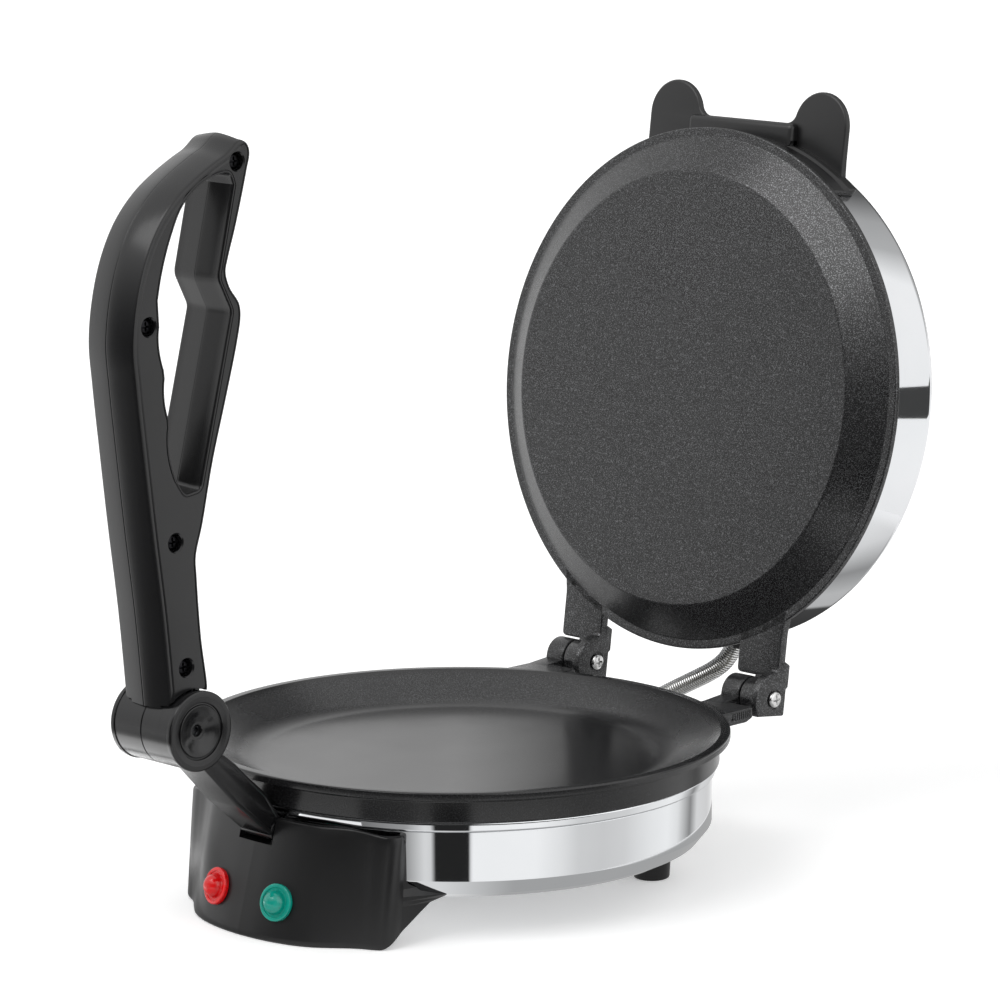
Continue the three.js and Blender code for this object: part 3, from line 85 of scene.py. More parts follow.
def makeFinish(name, look):
    # look: colour and shade (hex) are mixed by patches; speck is a lighter fleck colour;
    # sizes and heights are in mm, and shader holds further constants for the surface shader
    material = bpy.data.materials.new(name)
    tree = emptyTree(material)
    place = addNode(tree, "TexCoord").outputs["Object"]
    # size, detail and roughness of each noise
    kinds = dict(patches=(look["patch"], 3, 0.55), grain=(look["grain"], 2, 0.55),
                 dull=(look["patch"], 4, 0.55))
    if "speck" in look:
        kinds["fleck"] = (look["speckSize"], 1, 0.4)
    noise = {use: addNode(tree, "TexNoise", {"Vector": place, "Scale": 1 / (size * mm), "Detail": detail,
                                             "Roughness": rough}).outputs["Fac"]
             for use, (size, detail, rough) in kinds.items()}
    patches = addNode(tree, "MapRange", (noise["patches"], *noiseSpan, 0, 1)).outputs[0]
    # a colour mix takes its share at place 0 and its colours at 6 and 7, and gives a colour at 2
    paint = addNode(tree, "Mix", {0: patches, 6: linear(look["colour"]), 7: linear(look["shade"])},
                    data_type="RGBA").outputs[2]
    dull = addNode(tree, "MapRange", (noise["dull"], *noiseSpan, *look["rough"])).outputs[0]
    grain, rim, metal = noise["grain"], 1.0, look.get("metal", 0.0)
    if "calm" in look:
        # inside calm, a radius in mm, the coating is smooth: no flecks, less grain, more sheen
        flat = addNode(tree, "VectorMath", (place, (1, 1, 0)), operation="MULTIPLY").outputs[0]
        away = addNode(tree, "VectorMath", (flat,), operation="LENGTH").outputs["Value"]
        spans = ((look["calm"], look["calm"] + calmRing["blur"], 0, 1),
                 (*calmRing["rise"], 1, calmRing["lipShare"]), (*calmRing["fall"], 0, 1))
        inner, rise, fall = (addNode(tree, "MapRange", (away, low * mm, high * mm, *ends)).outputs[0]
                             for low, high, *ends in spans)
        lip = addNode(tree, "Math", (rise, fall), operation="MAXIMUM").outputs[0]
        rim = addNode(tree, "Math", (inner, lip), operation="MINIMUM").outputs[0]
        shares = [addNode(tree, "MapRange", (rim, 0, 1, share, 1)).outputs[0]
                  for share in (look["calmShare"], calmRing["grainShare"])]
        dull, grain = (addNode(tree, "Math", pair, operation="MULTIPLY").outputs[0]
                       for pair in zip((dull, grain), shares))
    if "speck" in look:
        share = addNode(tree, "MapRange",
                        (noise["fleck"], *look["speckSpan"], 0, look["speckShare"])).outputs[0]
        share = addNode(tree, "Math", (share, rim), operation="MULTIPLY").outputs[0]
        paint = addNode(tree, "Mix", {0: share, 6: paint, 7: linear(look["speck"])},
                        data_type="RGBA").outputs[2]
        metal = addNode(tree, "MapRange", (share, 0, look["speckShare"], 0, look["speckMetal"])).outputs[0]
    bump = addNode(tree, "Bump", {"Height": grain, "Strength": 1.0,
                                  "Distance": look["height"] * mm}).outputs["Normal"]
    shader = addNode(tree, "BsdfPrincipled", {"Base Color": paint, "Roughness": dull, "Normal": bump,
                                              **look.get("shader", {}), "Metallic": metal})
    addNode(tree, "OutputMaterial", {"Surface": shader.outputs["BSDF"]})
    return material


finishLooks = {
    # PTFE non-stick coating sprayed on die-cast aluminium: near black with dense fine pale flecks,
    # semi-gloss; the real flecks are near 0.1 mm and are drawn at 0.45 mm so that they show
    "nonstickCoating": dict(colour="#0f0f10", shade="#0d0d0e", patch=35, grain=0.5, height=0.012,
                            speck="#a2a3a5", speckSize=0.44, speckShare=0.42, speckSpan=(0.53, 0.66),
                            speckMetal=0.85, rough=(0.25, 0.3)),
    # the same coating on the lower plate, burnished smooth where the dough is pressed
    "panCoating": dict(colour="#161617", shade="#131314", patch=35, grain=0.5, height=0.014,
                       speck="#98999b", speckSize=0.46, speckShare=0.34, speckSpan=(0.52, 0.66),
                       speckMetal=0.7, rough=(0.25, 0.3), calm=84, calmShare=0.68),
    # mirror-polished stainless steel sheet: clear reflections, faint polishing haze
    "polishedStainless": dict(colour="#ecedef", shade="#e7e9eb", patch=60, grain=0.5, height=0.0006,
                              rough=(0.03, 0.05), metal=1.0),
    # the handle's nylon: satin moulding with a clear sheen
    "satinBlack": dict(colour="#161617", shade="#131314", patch=40, grain=0.5, height=0.002,
                       rough=(0.2, 0.25)),
    # moulded black phenolic and nylon: satin, very fine spark-eroded grain of 0.35 mm
    "mouldedBlack": dict(colour="#131314", shade="#111112", patch=40, grain=0.35, height=0.006,
                         rough=(0.3, 0.36)),
    # the same plastic from a polished mould: barrel caps and glossy faces
    "glossBlack": dict(colour="#141415", shade="#111112", patch=40, grain=0.6, height=0.002,
                       rough=(0.17, 0.22)),
    # zinc-plated steel: soft grey metal with a slight cloudiness
    "zincPlated": dict(colour="#a9abae", shade="#94979b", patch=3, grain=0.3, height=0.004,
                       rough=(0.25, 0.38), metal=1.0),
    # bright zinc-plated steel: hinge screws and the conduit's wire
    "brightZinc": dict(colour="#dcdcdc", shade="#cfcfce", patch=3, grain=0.3, height=0.002,
                       rough=(0.16, 0.24), metal=1.0),
    # steel screws painted dark grey: painted shade for the handle's counterbores round them
    "recessShadeSteel": dict(colour="#2c2c2e", shade="#222224", patch=2, grain=0.25, height=0.004,
                           rough=(0.3, 0.45), metal=1.0),
    # heating element sheath, heat-darkened nickel alloy
    "heaterSheath": dict(colour="#5a5754", shade="#45423f", patch=9, grain=0.4, height=0.01,
                         rough=(0.45, 0.6), metal=1.0),
    # unglazed steatite ceramic: off-white and chalky
    "steatite": dict(colour="#e3ded2", shade="#d8d2c4", patch=6, grain=0.3, height=0.02, rough=(0.6, 0.75)),
    # red and green polycarbonate lenses: clear dyed plastic with a soft gloss
    "redLensPlastic": dict(colour="#ee0c12", shade="#dc080e", patch=6, grain=1.2, height=0.002,
                           rough=(0.15, 0.19), shader={"Transmission Weight": 0.2, "IOR": 1.585}),
    "greenLensPlastic": dict(colour="#00a693", shade="#009684", patch=6, grain=1.2, height=0.002,
                             rough=(0.15, 0.19), shader={"Transmission Weight": 0.2, "IOR": 1.585}),
    # neon lamp envelopes: clear soda glass
    "lampGlass": dict(colour="#f2f2ee", shade="#ecece6", patch=5, grain=1.0, height=0.001, rough=(0.02, 0.05),
                      shader={"Transmission Weight": 0.9, "IOR": 1.52}),
    # woven glass-fibre sleeve on the lid's wires: off-white braid
    "glassFibreSleeve": dict(colour="#d9d5c8", shade="#c4bfae", patch=0.9, grain=0.45, height=0.08,
                             rough=(0.7, 0.85)),
}
finishes = {name: makeFinish(name, look) for name, look in finishLooks.items()}

sides = ("left", "right")
nodeFinish = {
    "panCoating": ["lower_plate"],
    "nonstickCoating": ["upper_plate"],
    "polishedStainless": ["base_shell", "trim_ring", "lid_cover"],
    "mouldedBlack": ["front_housing", "press_saddle", "link_arm", "cord_gland", "conduit_sleeve_body",
                     "conduit_sleeve_lid", "terminal_block"]
                    + [f"{part}_{side}" for part in ("handle_shell", "rear_foot") for side in sides],
    "glossBlack": [f"barrel_cap_{side}" for side in sides],
    "zincPlated": ["body_bolt", "thermostat", "link_pin", "handle_axle", "conduit_spring"]
                  + [f"hinge_screw_{side}" for side in sides]
                  + [f"{plate}_clamp_{part}" for plate in ("lower", "upper")
                     for part in ("ring", "screw_1", "screw_2", "screw_3")],
    # painted shade: these screws take the dark grey that stands in for the shade in their recesses
    "recessShadeSteel": [f"{part}_screw_{side}" for part in ("housing", "saddle") for side in sides]
                      + [f"handle_screw_{number}" for number in range(1, 5)],
    "heaterSheath": ["lower_heater", "upper_heater"],
    "steatite": ["thermal_fuse"],
    "redLensPlastic": ["red_lens"],
    "greenLensPlastic": ["green_lens"],
    "lampGlass": ["red_neon_lamp", "green_neon_lamp"],
    "glassFibreSleeve": ["lid_wires"],
}
for finish, names in nodeFinish.items():
    for name in names:
        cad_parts[name].data.materials.clear()
        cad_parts[name].data.materials.append(finishes[finish])
print("finishes ready")


# shapes; every number in them is in mm

def soften(corners, radius, steps=6, closed=True):
    # each corner gives way to a quadratic curve that leaves and arrives along its two sides,
    # as far from the corner as an arc of that radius would be
    corners = np.asarray(corners, float)
    count = len(corners)
    radii = np.broadcast_to(np.asarray(radius, float), count)
    share = np.linspace(0, 1, steps + 1)[:, None]
    result = []
    for index in range(count):
        here = corners[index]
        back = corners[index - 1] - here
        ahead = corners[(index + 1) % count] - here
        backLength, aheadLength = np.linalg.norm(back), np.linalg.norm(ahead)
        if radii[index] <= 0 or (not closed and index in (0, count - 1)):
            result.append(here[None])
            continue
        half = math.acos(max(-1, min(1, float(back @ ahead / (backLength * aheadLength))))) / 2
        reach = min(radii[index] / max(math.tan(half), 1e-6), 0.48 * backLength, 0.48 * aheadLength)
        first = here + back / backLength * reach
        last = here + ahead / aheadLength * reach
        result.append(first * (1 - share) ** 2 + 2 * here * share * (1 - share) + last * share ** 2)
    return np.concatenate(result)


def unit(vectors):
    # the same directions, one long
    vectors = np.asarray(vectors, float)
    return vectors / np.linalg.norm(vectors, axis=-1, keepdims=True)


def runOf(curve):
    # distance along the curve to each of its points
    return np.concatenate([[0], np.cumsum(np.linalg.norm(np.diff(curve, axis=0), axis=1))])


def evenly(curve, count):
    # the curve read at even steps along it
    run = runOf(curve)
    return readAt(curve, run, np.linspace(0, run[-1], count))


def readAt(curve, run, at):
    return np.stack([np.interp(at, run, curve[:, axis]) for axis in range(curve.shape[1])], 1)


def through(points, spacing):
    # open centripetal Catmull-Rom curve through the points: cubic Hermite pieces whose slopes weigh
    # the neighbours by the square root of their distance, then read at even steps
    points = np.asarray(points, float)
    padded = np.concatenate([2 * points[:1] - points[1:2], points, 2 * points[-1:] - points[-2:-1]])
    gaps = np.sqrt(np.linalg.norm(np.diff(padded, axis=0), axis=1))[:, None]
    before, here, there, after = padded[:-3], padded[1:-2], padded[2:-1], padded[3:]
    d0, d1, d2 = gaps[:-2], gaps[1:-1], gaps[2:]
    leave = d1 * ((here - before) / d0 - (there - before) / (d0 + d1) + (there - here) / d1)
    arrive = d1 * ((there - here) / d1 - (after - here) / (d1 + d2) + (after - there) / d2)
    t = np.linspace(0, 1, 24, endpoint=False)[:, None, None]
    fine = (here * (2 * t ** 3 - 3 * t ** 2 + 1) + leave * (t ** 3 - 2 * t ** 2 + t)
            + there * (3 * t ** 2 - 2 * t ** 3) + arrive * (t ** 3 - t ** 2))
    fine = np.concatenate([fine.transpose(1, 0, 2).reshape(-1, points.shape[1]), points[-1:]])
    return evenly(fine, max(3, int(round(runOf(fine)[-1] / spacing))) + 1)


def pick(sizes, *names):
    return [sizes[name] for name in names]


def standing(loops, x):
    # flat (y, z) loops set upright at x
    return [np.column_stack([np.full(len(loop), x), loop]) for loop in loops]


def inset(loop, distance):
    # every point moves square to the outline, to the left of its run: inwards on an anticlockwise one
    run = np.roll(loop, -1, 0) - np.roll(loop, 1, 0)
    run = run / np.maximum(np.linalg.norm(run, axis=1, keepdims=True), 1e-9)
    return loop + distance * np.stack([-run[:, 1], run[:, 0]], 1)


def skin(levels, caps=True):
    # quads between matching levels; a level is a list of closed loops, the first one outermost,
    # and the first and last levels are filled with triangles
    sizes = [len(loop) for loop in levels[0]]
    whole = sum(sizes)
    points = np.concatenate([np.concatenate(level) for level in levels])
    quads, tris, start = [], [np.zeros((0, 3), int)], 0
    for size in sizes:
        base = np.arange(len(levels) - 1)[:, None] * whole + start
        low = base + np.arange(size)
        ahead = base + np.roll(np.arange(size), -1)
        quads.append(np.stack([low, ahead, ahead + whole, low + whole], -1).reshape(-1, 4))
        start += size
    if caps:
        for index in (0, len(levels) - 1):
            filled = geometry.tessellate_polygon([[Vector(p) for p in loop.tolist()] for loop in levels[index]])
            tris.append(np.array(filled).reshape(-1, 3) + index * whole)
    return points, np.concatenate(quads), np.concatenate(tris)


def lathe(profile, segments=160):
    # profile of radius r and height h carried round Z: x = r cos a, y = r sin a, z = h
    profile = np.asarray(profile, float)
    if profile[0][0] > 1e-6 or profile[-1][0] > 1e-6:
        profile = np.concatenate([profile, profile[:1]])
    angle = np.linspace(0, 2 * np.pi, segments, endpoint=False)
    rings = np.stack([profile[:, :1] * np.cos(angle), profile[:, :1] * np.sin(angle),
                      np.broadcast_to(profile[:, 1:], (len(profile), segments))], -1)
    return skin([[ring] for ring in rings], caps=False)


def prism(loops, start, end, along="x", edge=0.5, steps=4):
    # flat loops carried from start to end, with rims rounded by a quarter circle
    quarter = np.linspace(0, np.pi / 2, steps + 1)
    depth, pull = edge * (1 - np.cos(quarter)), edge * (1 - np.sin(quarter))
    places = np.concatenate([start + depth, end - depth[::-1]])
    pulls = np.concatenate([pull, pull[::-1]])
    levels = []
    for place, pulled in zip(places, pulls):
        level = standing([inset(np.asarray(loop, float), pulled) for loop in loops], place)
        if along == "z":
            level = [loop[:, [1, 2, 0]] for loop in level]
        levels.append(level)
    return skin(levels)


def moved(shape, turn=None, shift=(0, 0, 0)):
    points, quads, tris = shape
    if turn is not None:
        points = points @ np.asarray(turn, float).T
    return points + np.asarray(shift, float), quads, tris


def aimed(direction):
    # turns +Z to the direction, keeping the shape's X level where it can
    z = unit(direction)
    x = unit(np.cross([0, 0, 1] if abs(z[2]) < 0.9 else [0, 1, 0], z))
    return np.column_stack([x, np.cross(z, x), z])


toX = np.array([[0, 0, 1], [1, 0, 0], [0, 1, 0]])  # +Z to +X, +X to +Y


def arc(radius, y, z, start, end, steps=24):
    angle = np.radians(np.linspace(start, end, steps + 1))
    return np.column_stack([y + radius * np.cos(angle), z + radius * np.sin(angle)])


def ccw(loop):
    # anticlockwise, so that an inset goes inwards
    loop = np.asarray(loop, float)
    turned = np.sum(loop[:, 0] * np.roll(loop[:, 1], -1) - loop[:, 1] * np.roll(loop[:, 0], -1))
    return loop if turned > 0 else loop[::-1]


def circle(radius, y=0.0, z=0.0, steps=64):
    return arc(radius, y, z, 0, 360, steps)[:-1]


def addObject(name, data):
    made = bpy.data.objects.new(name, data)
    bpy.context.scene.collection.objects.link(made)
    return made


def weldedMesh(name, shapes, dissolve=True):
    # one mesh from closed shells: doubles merged, slivers dissolved, faces outwards
    points, faces, start = [], [], 0
    for shape in shapes:
        points.append(shape[0])
        faces += (shape[1] + start).tolist() + (shape[2] + start).tolist()
        start += len(shape[0])
    mesh = bpy.data.meshes.new(name)
    mesh.from_pydata((np.concatenate(points) * mm).tolist(), [], faces)
    shell = bmesh.new()
    shell.from_mesh(mesh)
    bmesh.ops.remove_doubles(shell, verts=shell.verts, dist=1.5e-6)
    if dissolve:
        bmesh.ops.dissolve_degenerate(shell, edges=shell.edges, dist=1e-7)
    bmesh.ops.recalc_face_normals(shell, faces=shell.faces)
    shell.to_mesh(mesh)
    shell.free()
    return mesh


def finishEdges(mesh, crease=30):
    # smooth, and sharp only where the real one is
    mesh.shade_smooth()
    mesh.set_sharp_from_angle(angle=math.radians(crease))


def putPiece(name, shapes, finish, body, stands=(), crease=30):
    mesh = weldedMesh(name, shapes)
    finishEdges(mesh, crease)
    mesh.materials.append(finishes[finish])
    piece = addObject(name, mesh)
    if body:
        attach(piece, body)
    if stands:
        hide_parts(*stands)
    return piece


def carve(piece, shapes, keep="DIFFERENCE"):
    # cuts closed shapes out of a piece, or joins them to it, and bakes the result into its mesh
    for shape in shapes:
        mesh = weldedMesh("cutter", [shape], dissolve=False)
        mesh.materials.append(piece.data.materials[0])
        cutter = addObject("cutter", mesh)
        step = piece.modifiers.new("carve", "BOOLEAN")
        step.operation = keep
        step.solver = "EXACT"
        step.object = cutter
        depsgraph = bpy.context.evaluated_depsgraph_get()
        baked = bpy.data.meshes.new_from_object(piece.evaluated_get(depsgraph))
        piece.modifiers.clear()
        old, piece.data = piece.data, baked
        baked.name = piece.name
        bpy.data.meshes.remove(old)
        bpy.data.objects.remove(cutter)
        bpy.data.meshes.remove(mesh)


rimZ, hingeY, hingeZ = 68.4, 133.8, 69.32
openAngle = math.radians(97.48)


def openLid(shape):
    # from the closed lid's own axes, round the hinge, to where the open lid stands
    cos, sin = math.cos(openAngle), math.sin(openAngle)
    return moved(shape, [[1, 0, 0], [0, cos, sin], [0, -sin, cos]], (0, hingeY, hingeZ))


# the tongues' and arms' shared hinge line, its knuckles and their clearances
hinge = dict(knuckle=8.6, cheek=12.3, inner=42.8, width=24.7, lowerWidth=10.4, cheekWidth=3.7, gap=1.0,
             bore=2.7, recess=4.5, recessDepth=0.6)
hingeLefts = (-hinge["inner"] - hinge["width"], hinge["inner"])

# lower plate: pan with a soft floor bend, a lip and a skirt, two tongues with knuckles
pan = dict(radius=120, mouth=115.8, floor=93, depth=12, thickness=5, lip=3.4, neck=1.3, skirt=115.2,
           skirtDepth=14, skirtWall=3.4, segments=256)


def panShape():
    radius, mouth, floor, depth, thickness = pick(pan, "radius", "mouth", "floor", "depth", "thickness")
    floorZ, backZ, under, foot = (rimZ - down for down in (depth, depth + thickness, pan["lip"],
                                                           pan["skirtDepth"]))
    skirt, inner = pan["skirt"], pan["skirt"] - pan["skirtWall"]
    corners = [(0, backZ), (floor, backZ), (inner, rimZ - depth / 2 - thickness), (inner, foot), (skirt, foot),
               (skirt, under - pan["neck"]), (radius, under), (radius, rimZ), (mouth, rimZ), (floor, floorZ),
               (0, floorZ)]
    radii = [0, 3, 1.5, 0.3, 0.7, 1.2, 0.9, 1.0, 1.3, 26, 0]
    return lathe(soften(corners, radii, 8, closed=False), pan["segments"])


# a tongue under the hinge: its blade's ends, how it meets the pan, and the cast ribs on its right flank
tongue = dict(low=5.8, edge=0.8, setback=4, gap=14.3, webLap=6, webEnd=4.3, sink=3, inMouth=1.6, inSkirt=2.6,
              lap=0.4)
rib = dict(count=9, first=13.5, last=2, width=0.55, low=4.4, high=1.1, out=0.3)


def tongueShapes(left):
    low, high = rimZ - tongue["low"] - tongue["edge"], rimZ - tongue["low"] + tongue["edge"]
    end, right = hingeY - tongue["gap"], left + hinge["width"]
    start = math.sqrt(pan["skirt"] ** 2 - hinge["inner"] ** 2) - tongue["sink"]
    # its top lies just under the lip's, so that no two faces lie in one plane
    top = rimZ - 0.05
    # above the lip's foot the root stays outside the mouth, clear of the sloping wall
    mouth = pan["mouth"] + tongue["inMouth"]
    lipStart, lipFoot = math.sqrt(mouth ** 2 - hinge["inner"] ** 2), rimZ - pan["lip"] - tongue["lap"]
    blade = [(start, low), (end - tongue["setback"], low), (end, high), (end, top), (lipStart, top),
             (lipStart, lipFoot), (start, lipFoot)]
    web = np.concatenate([[(end - tongue["webLap"], low), (hingeY - tongue["webEnd"], low)],
                          arc(hinge["knuckle"], hingeY, hingeZ, -80, 180, 40),
                          [(end - tongue["webLap"], top - 0.05)]])
    face = [(0, -rib["low"]), (rib["width"], -rib["low"]), (rib["width"], -rib["high"]), (0, -rib["high"])]
    ribs = [prism([np.add(face, (y, top))], right - rib["out"], right + rib["out"], edge=0.15)
            for y in np.linspace(end - rib["first"], end - rib["last"], rib["count"])]
    points, quads, tris = prism([soften(blade, [0, 1.5, 1, 1, 0, 0, 0], 4)], left, right, edge=0.8)
    # the root follows the pan: its y becomes sqrt(R^2 - x^2) at each x, R being that of the lip or the skirt
    inLip = points[:, 2] > lipFoot - 0.1
    for root, reach, near in ((lipStart, mouth, inLip), (start, pan["skirt"] - tongue["inSkirt"], ~inLip)):
        rooted = near & (points[:, 1] < root + 1)
        points[rooted, 1] += np.sqrt(reach ** 2 - points[rooted, 0] ** 2) - root
    return ribs + [(points, quads, tris), prism([web], left + 0.05, left + hinge["lowerWidth"], edge=0.6)]


putPiece("panAndTongues", [panShape()] + [s for left in hingeLefts for s in tongueShapes(left)], "panCoating",
         "base", ["lower_plate"])
print("lower plate ready")

# steel body: drawn cup with a sharp band edge and a bevelled foot, ring above it
bodyCup = dict(radius=112, top=49.8, bandFoot=28.1, bevelFoot=21.7, foot=19.3, bevelIn=5, footIn=4.5, sheet=1.1)
trimRing = dict(radius=113.6, inner=111.4, low=50.1, high=54.1, edge=0.8)


def bodyShape():
    r, t, top, band, bevel, foot = pick(bodyCup, "radius", "sheet", "top", "bandFoot", "bevelFoot", "foot")
    middle = r - bodyCup["bevelIn"]
    low = middle - bodyCup["footIn"]
    outside = [(0, foot), (low, foot), (middle, bevel), (r, band), (r, top)]
    inside = [(r - t, top), (r - t, band + t / 2), (middle - t, bevel + t / 2), (low - t / 2, foot + t),
              (0, foot + t)]
    return lathe(soften(outside + inside, [0, 1.2, 0.8, 0.7, 0.4, 0.4, 0.5, 0.5, 0.8, 0], 5, closed=False), 256)


def trimShape():
    r, i, lo, hi, e = pick(trimRing, "radius", "inner", "low", "high", "edge")
    return lathe(soften([(i, lo), (r, lo), (r, hi), (i, hi)], [0.2, e, e, 0.2], 5), 256)


putPiece("bodyCup", [bodyShape()], "polishedStainless", "base", ["base_shell"], crease=40)
putPiece("trimBand", [trimShape()], "polishedStainless", "base", ["trim_ring"], crease=40)
print("steel body ready")

# upper plate: raised cooking face, sloped edge and flange, two arms with knuckles and cheeks
plate = dict(radius=119.7, plane=1.09, flange=2.9, plateau=99.5, depth=10.3, shoulder=115.4, thickness=3.6,
             locator=114.7, locatorWall=3, locatorHeight=6, armThick=4.5, armEnd=9.2, armCorner=2.5, armRoot=60,
             flare=2.2)
heel = dict(reach=17, end=7.8, rise=7.8, stepRise=9, stepStart=4.3, stepEnd=15.4)


def upperShape():
    plane, flange, plateau, shoulder, radius = pick(plate, "plane", "flange", "plateau", "shoulder", "radius")
    locator, wall, rise, thickness = pick(plate, "locator", "locatorWall", "locatorHeight", "thickness")
    face, back, inner = plane - plate["depth"], plane + flange, locator - wall
    corners = [(0, face), (plateau, face), (shoulder, plane), (radius, plane), (radius, back), (locator, back),
               (locator, back + rise), (inner, back + rise), (inner, back - 0.7),
               (plateau - 2, face + thickness), (0, face + thickness)]
    return moved(lathe(soften(corners, [0, 3.4, 1.6, 0.8, 0.8, 0.3, 0.4, 0.4, 1, 3, 0], 8, closed=False), 256),
                 shift=(0, -hingeY, 0))


def armShapes(left):
    right = left + hinge["width"]
    plane, thick, end, corner, root, flare = pick(plate, "plane", "armThick", "armEnd", "armCorner", "armRoot",
                                                  "flare")
    tip = -hingeY + math.sqrt(plate["locator"] ** 2 - (hinge["inner"] + hinge["width"]) ** 2) - 4
    blade = [(left, -end), (left, -root / 2), (left - flare, tip), (right + flare, tip), (right, -root / 2),
             (right, -end)]
    blade = soften(blade, [corner, 20, 0, 0, 20, corner], 5) - (0.05, 0)
    knuckleStart, cheekStart = left + hinge["lowerWidth"] + hinge["gap"], right - hinge["cheekWidth"]

    def lobe(radius):
        # arc about the pin under the heel's block, whose end and back are flat
        reach, flatEnd, rise, step, first, last = pick(heel, "reach", "end", "rise", "stepRise", "stepStart",
                                                       "stepEnd")
        crossing = math.degrees(math.acos(flatEnd / radius))
        block = [(flatEnd, rise - 3), (flatEnd, rise), (-first, rise), (-first - 1, step), (-last, step),
                 (-reach, plane + thick), (-reach, plane + 0.1), (-radius - 1, plane)]
        return np.concatenate([arc(radius, 0, 0, 178, 360 - crossing, 60),
                               soften(block, [0, 1.2, 0.6, 0.5, 1.4, 2, 1.5, 0], 5, closed=False)])

    # each place is x, the pull inwards, and the radii of the lobe and its hole
    knuckle, cheek, bore, recess = pick(hinge, "knuckle", "cheek", "bore", "recess")
    seat = right - hinge["recessDepth"]
    places = [(knuckleStart, 0.6, knuckle, bore), (knuckleStart + 0.18, 0.18, knuckle, bore),
              (knuckleStart + 0.6, 0, knuckle, bore), (cheekStart, 0, knuckle, bore),
              (cheekStart, 0, cheek, bore), (seat, 0, cheek, bore), (seat, 0, cheek, recess),
              (right - 0.5, 0.03, cheek, recess), (right - 0.15, 0.2, cheek, recess),
              (right, 0.6, cheek, recess + 0.2)]
    lobes = [standing((inset(lobe(radius), pull), circle(hole, steps=48)[::-1]), x)
             for x, pull, radius, hole in places]
    return [prism([blade], plane, plane + thick, along="z", edge=0.7), skin(lobes)]


putPiece("plateAndArms", [openLid(s) for s in [upperShape()]
                          + [s for left in hingeLefts for s in armShapes(left)]], "nonstickCoating", "lid",
                          ["upper_plate"])
print("upper plate ready")

# lid cover: deep drawn cup with a rounded shoulder and a slightly domed back
coverCup = dict(radius=115.5, low=4.29, height=31.7, round=7, sheet=0.5, crown=1.6)


def coverShape():
    r, low, t, bend = pick(coverCup, "radius", "low", "sheet", "round")
    high = low + coverCup["height"]
    middle = (r - bend, high - bend)
    across = np.linspace(r - bend, 0, 24)
    # the back rises as a parabola from the shoulder to the middle
    dome = np.column_stack([across, high + coverCup["crown"] * (1 - (across / across[0]) ** 2)])[1:]
    outside = np.concatenate([[(r, low)], arc(bend, *middle, 0, 90, 14), dome])
    inside = np.concatenate([dome[::-1] - (0, t), arc(bend - t, *middle, 90, 0, 14), [(r - t, low)]])
    return moved(lathe(np.concatenate([outside, inside]), 256), shift=(0, -hingeY, 0))


putPiece("lidCup", [openLid(coverShape())], "polishedStainless", "lid", ["lid_cover"], crease=40)
print("lid cover ready")

# rear feet: moulded cones with a soft foot
feet = dict(radius=8, top=9, height=19, x=61.5, y=59.5, peg=4, pegTop=22.6)
footProfile = soften([(0, 0), (feet["radius"], 0), (feet["top"], feet["height"]), (feet["peg"], feet["height"]),
                      (feet["peg"], feet["pegTop"]), (0, feet["pegTop"])], [0, 1.4, 0.4, 0.2, 0.6, 0], 5,
                      closed=False)
for name, side in (("left", -1), ("right", 1)):
    putPiece("foot." + name, [moved(lathe(footProfile, 64), shift=(side * feet["x"], feet["y"], 0))],
             "mouldedBlack", "base", ["rear_foot_" + name])
print("feet ready")


def carried(loops, places):
    # flat (y, z) loops carried along X; each place is (x, how far the outline is pulled in)
    return skin([standing([inset(loop, pull) for loop in loops], x) for x, pull in places])


def recessedScrew(head, height, shank, length, cross, wide, deep, steps=64):
    # pan head with a cross recess, seated at height 0; the cross is two boxes of half length
    # cross and half width wide: its radius is the larger of theirs at every angle
    angle = np.linspace(0, 2 * np.pi, steps, endpoint=False)
    cos, sin = np.abs(np.cos(angle)) + 1e-9, np.abs(np.sin(angle)) + 1e-9
    star = np.maximum(np.minimum(cross / cos, wide / sin), np.minimum(wide / cos, cross / sin))
    rounds = [(shank, -length), (shank, 0), (head, 0), (head, height * 0.35), (head * 0.97, height * 0.6),
              (head * 0.88, height * 0.85), (head * 0.74, height * 0.98)]
    rings = [(np.full(steps, radius), z) for radius, z in rounds]
    rings += [(star * 1.06, height), (star, height - 0.08), (star * 0.62, height - deep)]
    return skin([[np.column_stack([r * np.cos(angle), r * np.sin(angle), np.full(steps, z)])]
                 for r, z in rings])


# press handle: two moulded halves parted at x = 0 and screwed round the link's hub.
# Its outlines are shares of its depth (along Y) and its reach (along Z) from the barrel's axis.
grip = dict(reach=241.6, depth=60, half=14, crown=2.3, foot=16.0, relief=17.2, reliefFrom=9, draft=0.9)
barrelPlace = (0, -167.7, 97.8)
gripBack = [(0.505, 0.9985), (0.462, 0.9945), (0.42, 0.986), (0.365, 0.9765), (0.27, 0.9655), (0.095, 0.942),
            (-0.08, 0.912), (-0.247, 0.868), (-0.372, 0.812), (-0.455, 0.745), (-0.493, 0.67), (-0.47, 0.6),
            (-0.413, 0.478), (-0.352, 0.354), (-0.268, 0.199), (-0.215, 0.07), (-0.205, 0.044)]
gripFront = [(0.128, 0.055), (0.137, 0.069), (0.087, 0.158), (0.053, 0.267), (0.049, 0.3), (0.112, 0.354),
             (0.212, 0.458), (0.337, 0.561), (0.445, 0.654), (0.482, 0.7), (0.47, 0.722), (0.384, 0.752),
             (0.35, 0.779), (0.37, 0.8), (0.445, 0.855), (0.549, 0.945), (0.579, 0.978), (0.553, 0.993)]
holeTop = [(0.428, 0.925), (0.385, 0.944), (0.19, 0.937), (-0.022, 0.9), (-0.138, 0.848), (-0.222, 0.789),
           (-0.262, 0.745)]
fingers = [[(-0.247, 0.706), (-0.285, 0.668), (-0.205, 0.619)],
           [(-0.205, 0.619), (-0.24, 0.577), (-0.172, 0.536)],
           [(-0.172, 0.536), (-0.215, 0.487), (-0.122, 0.437)]]
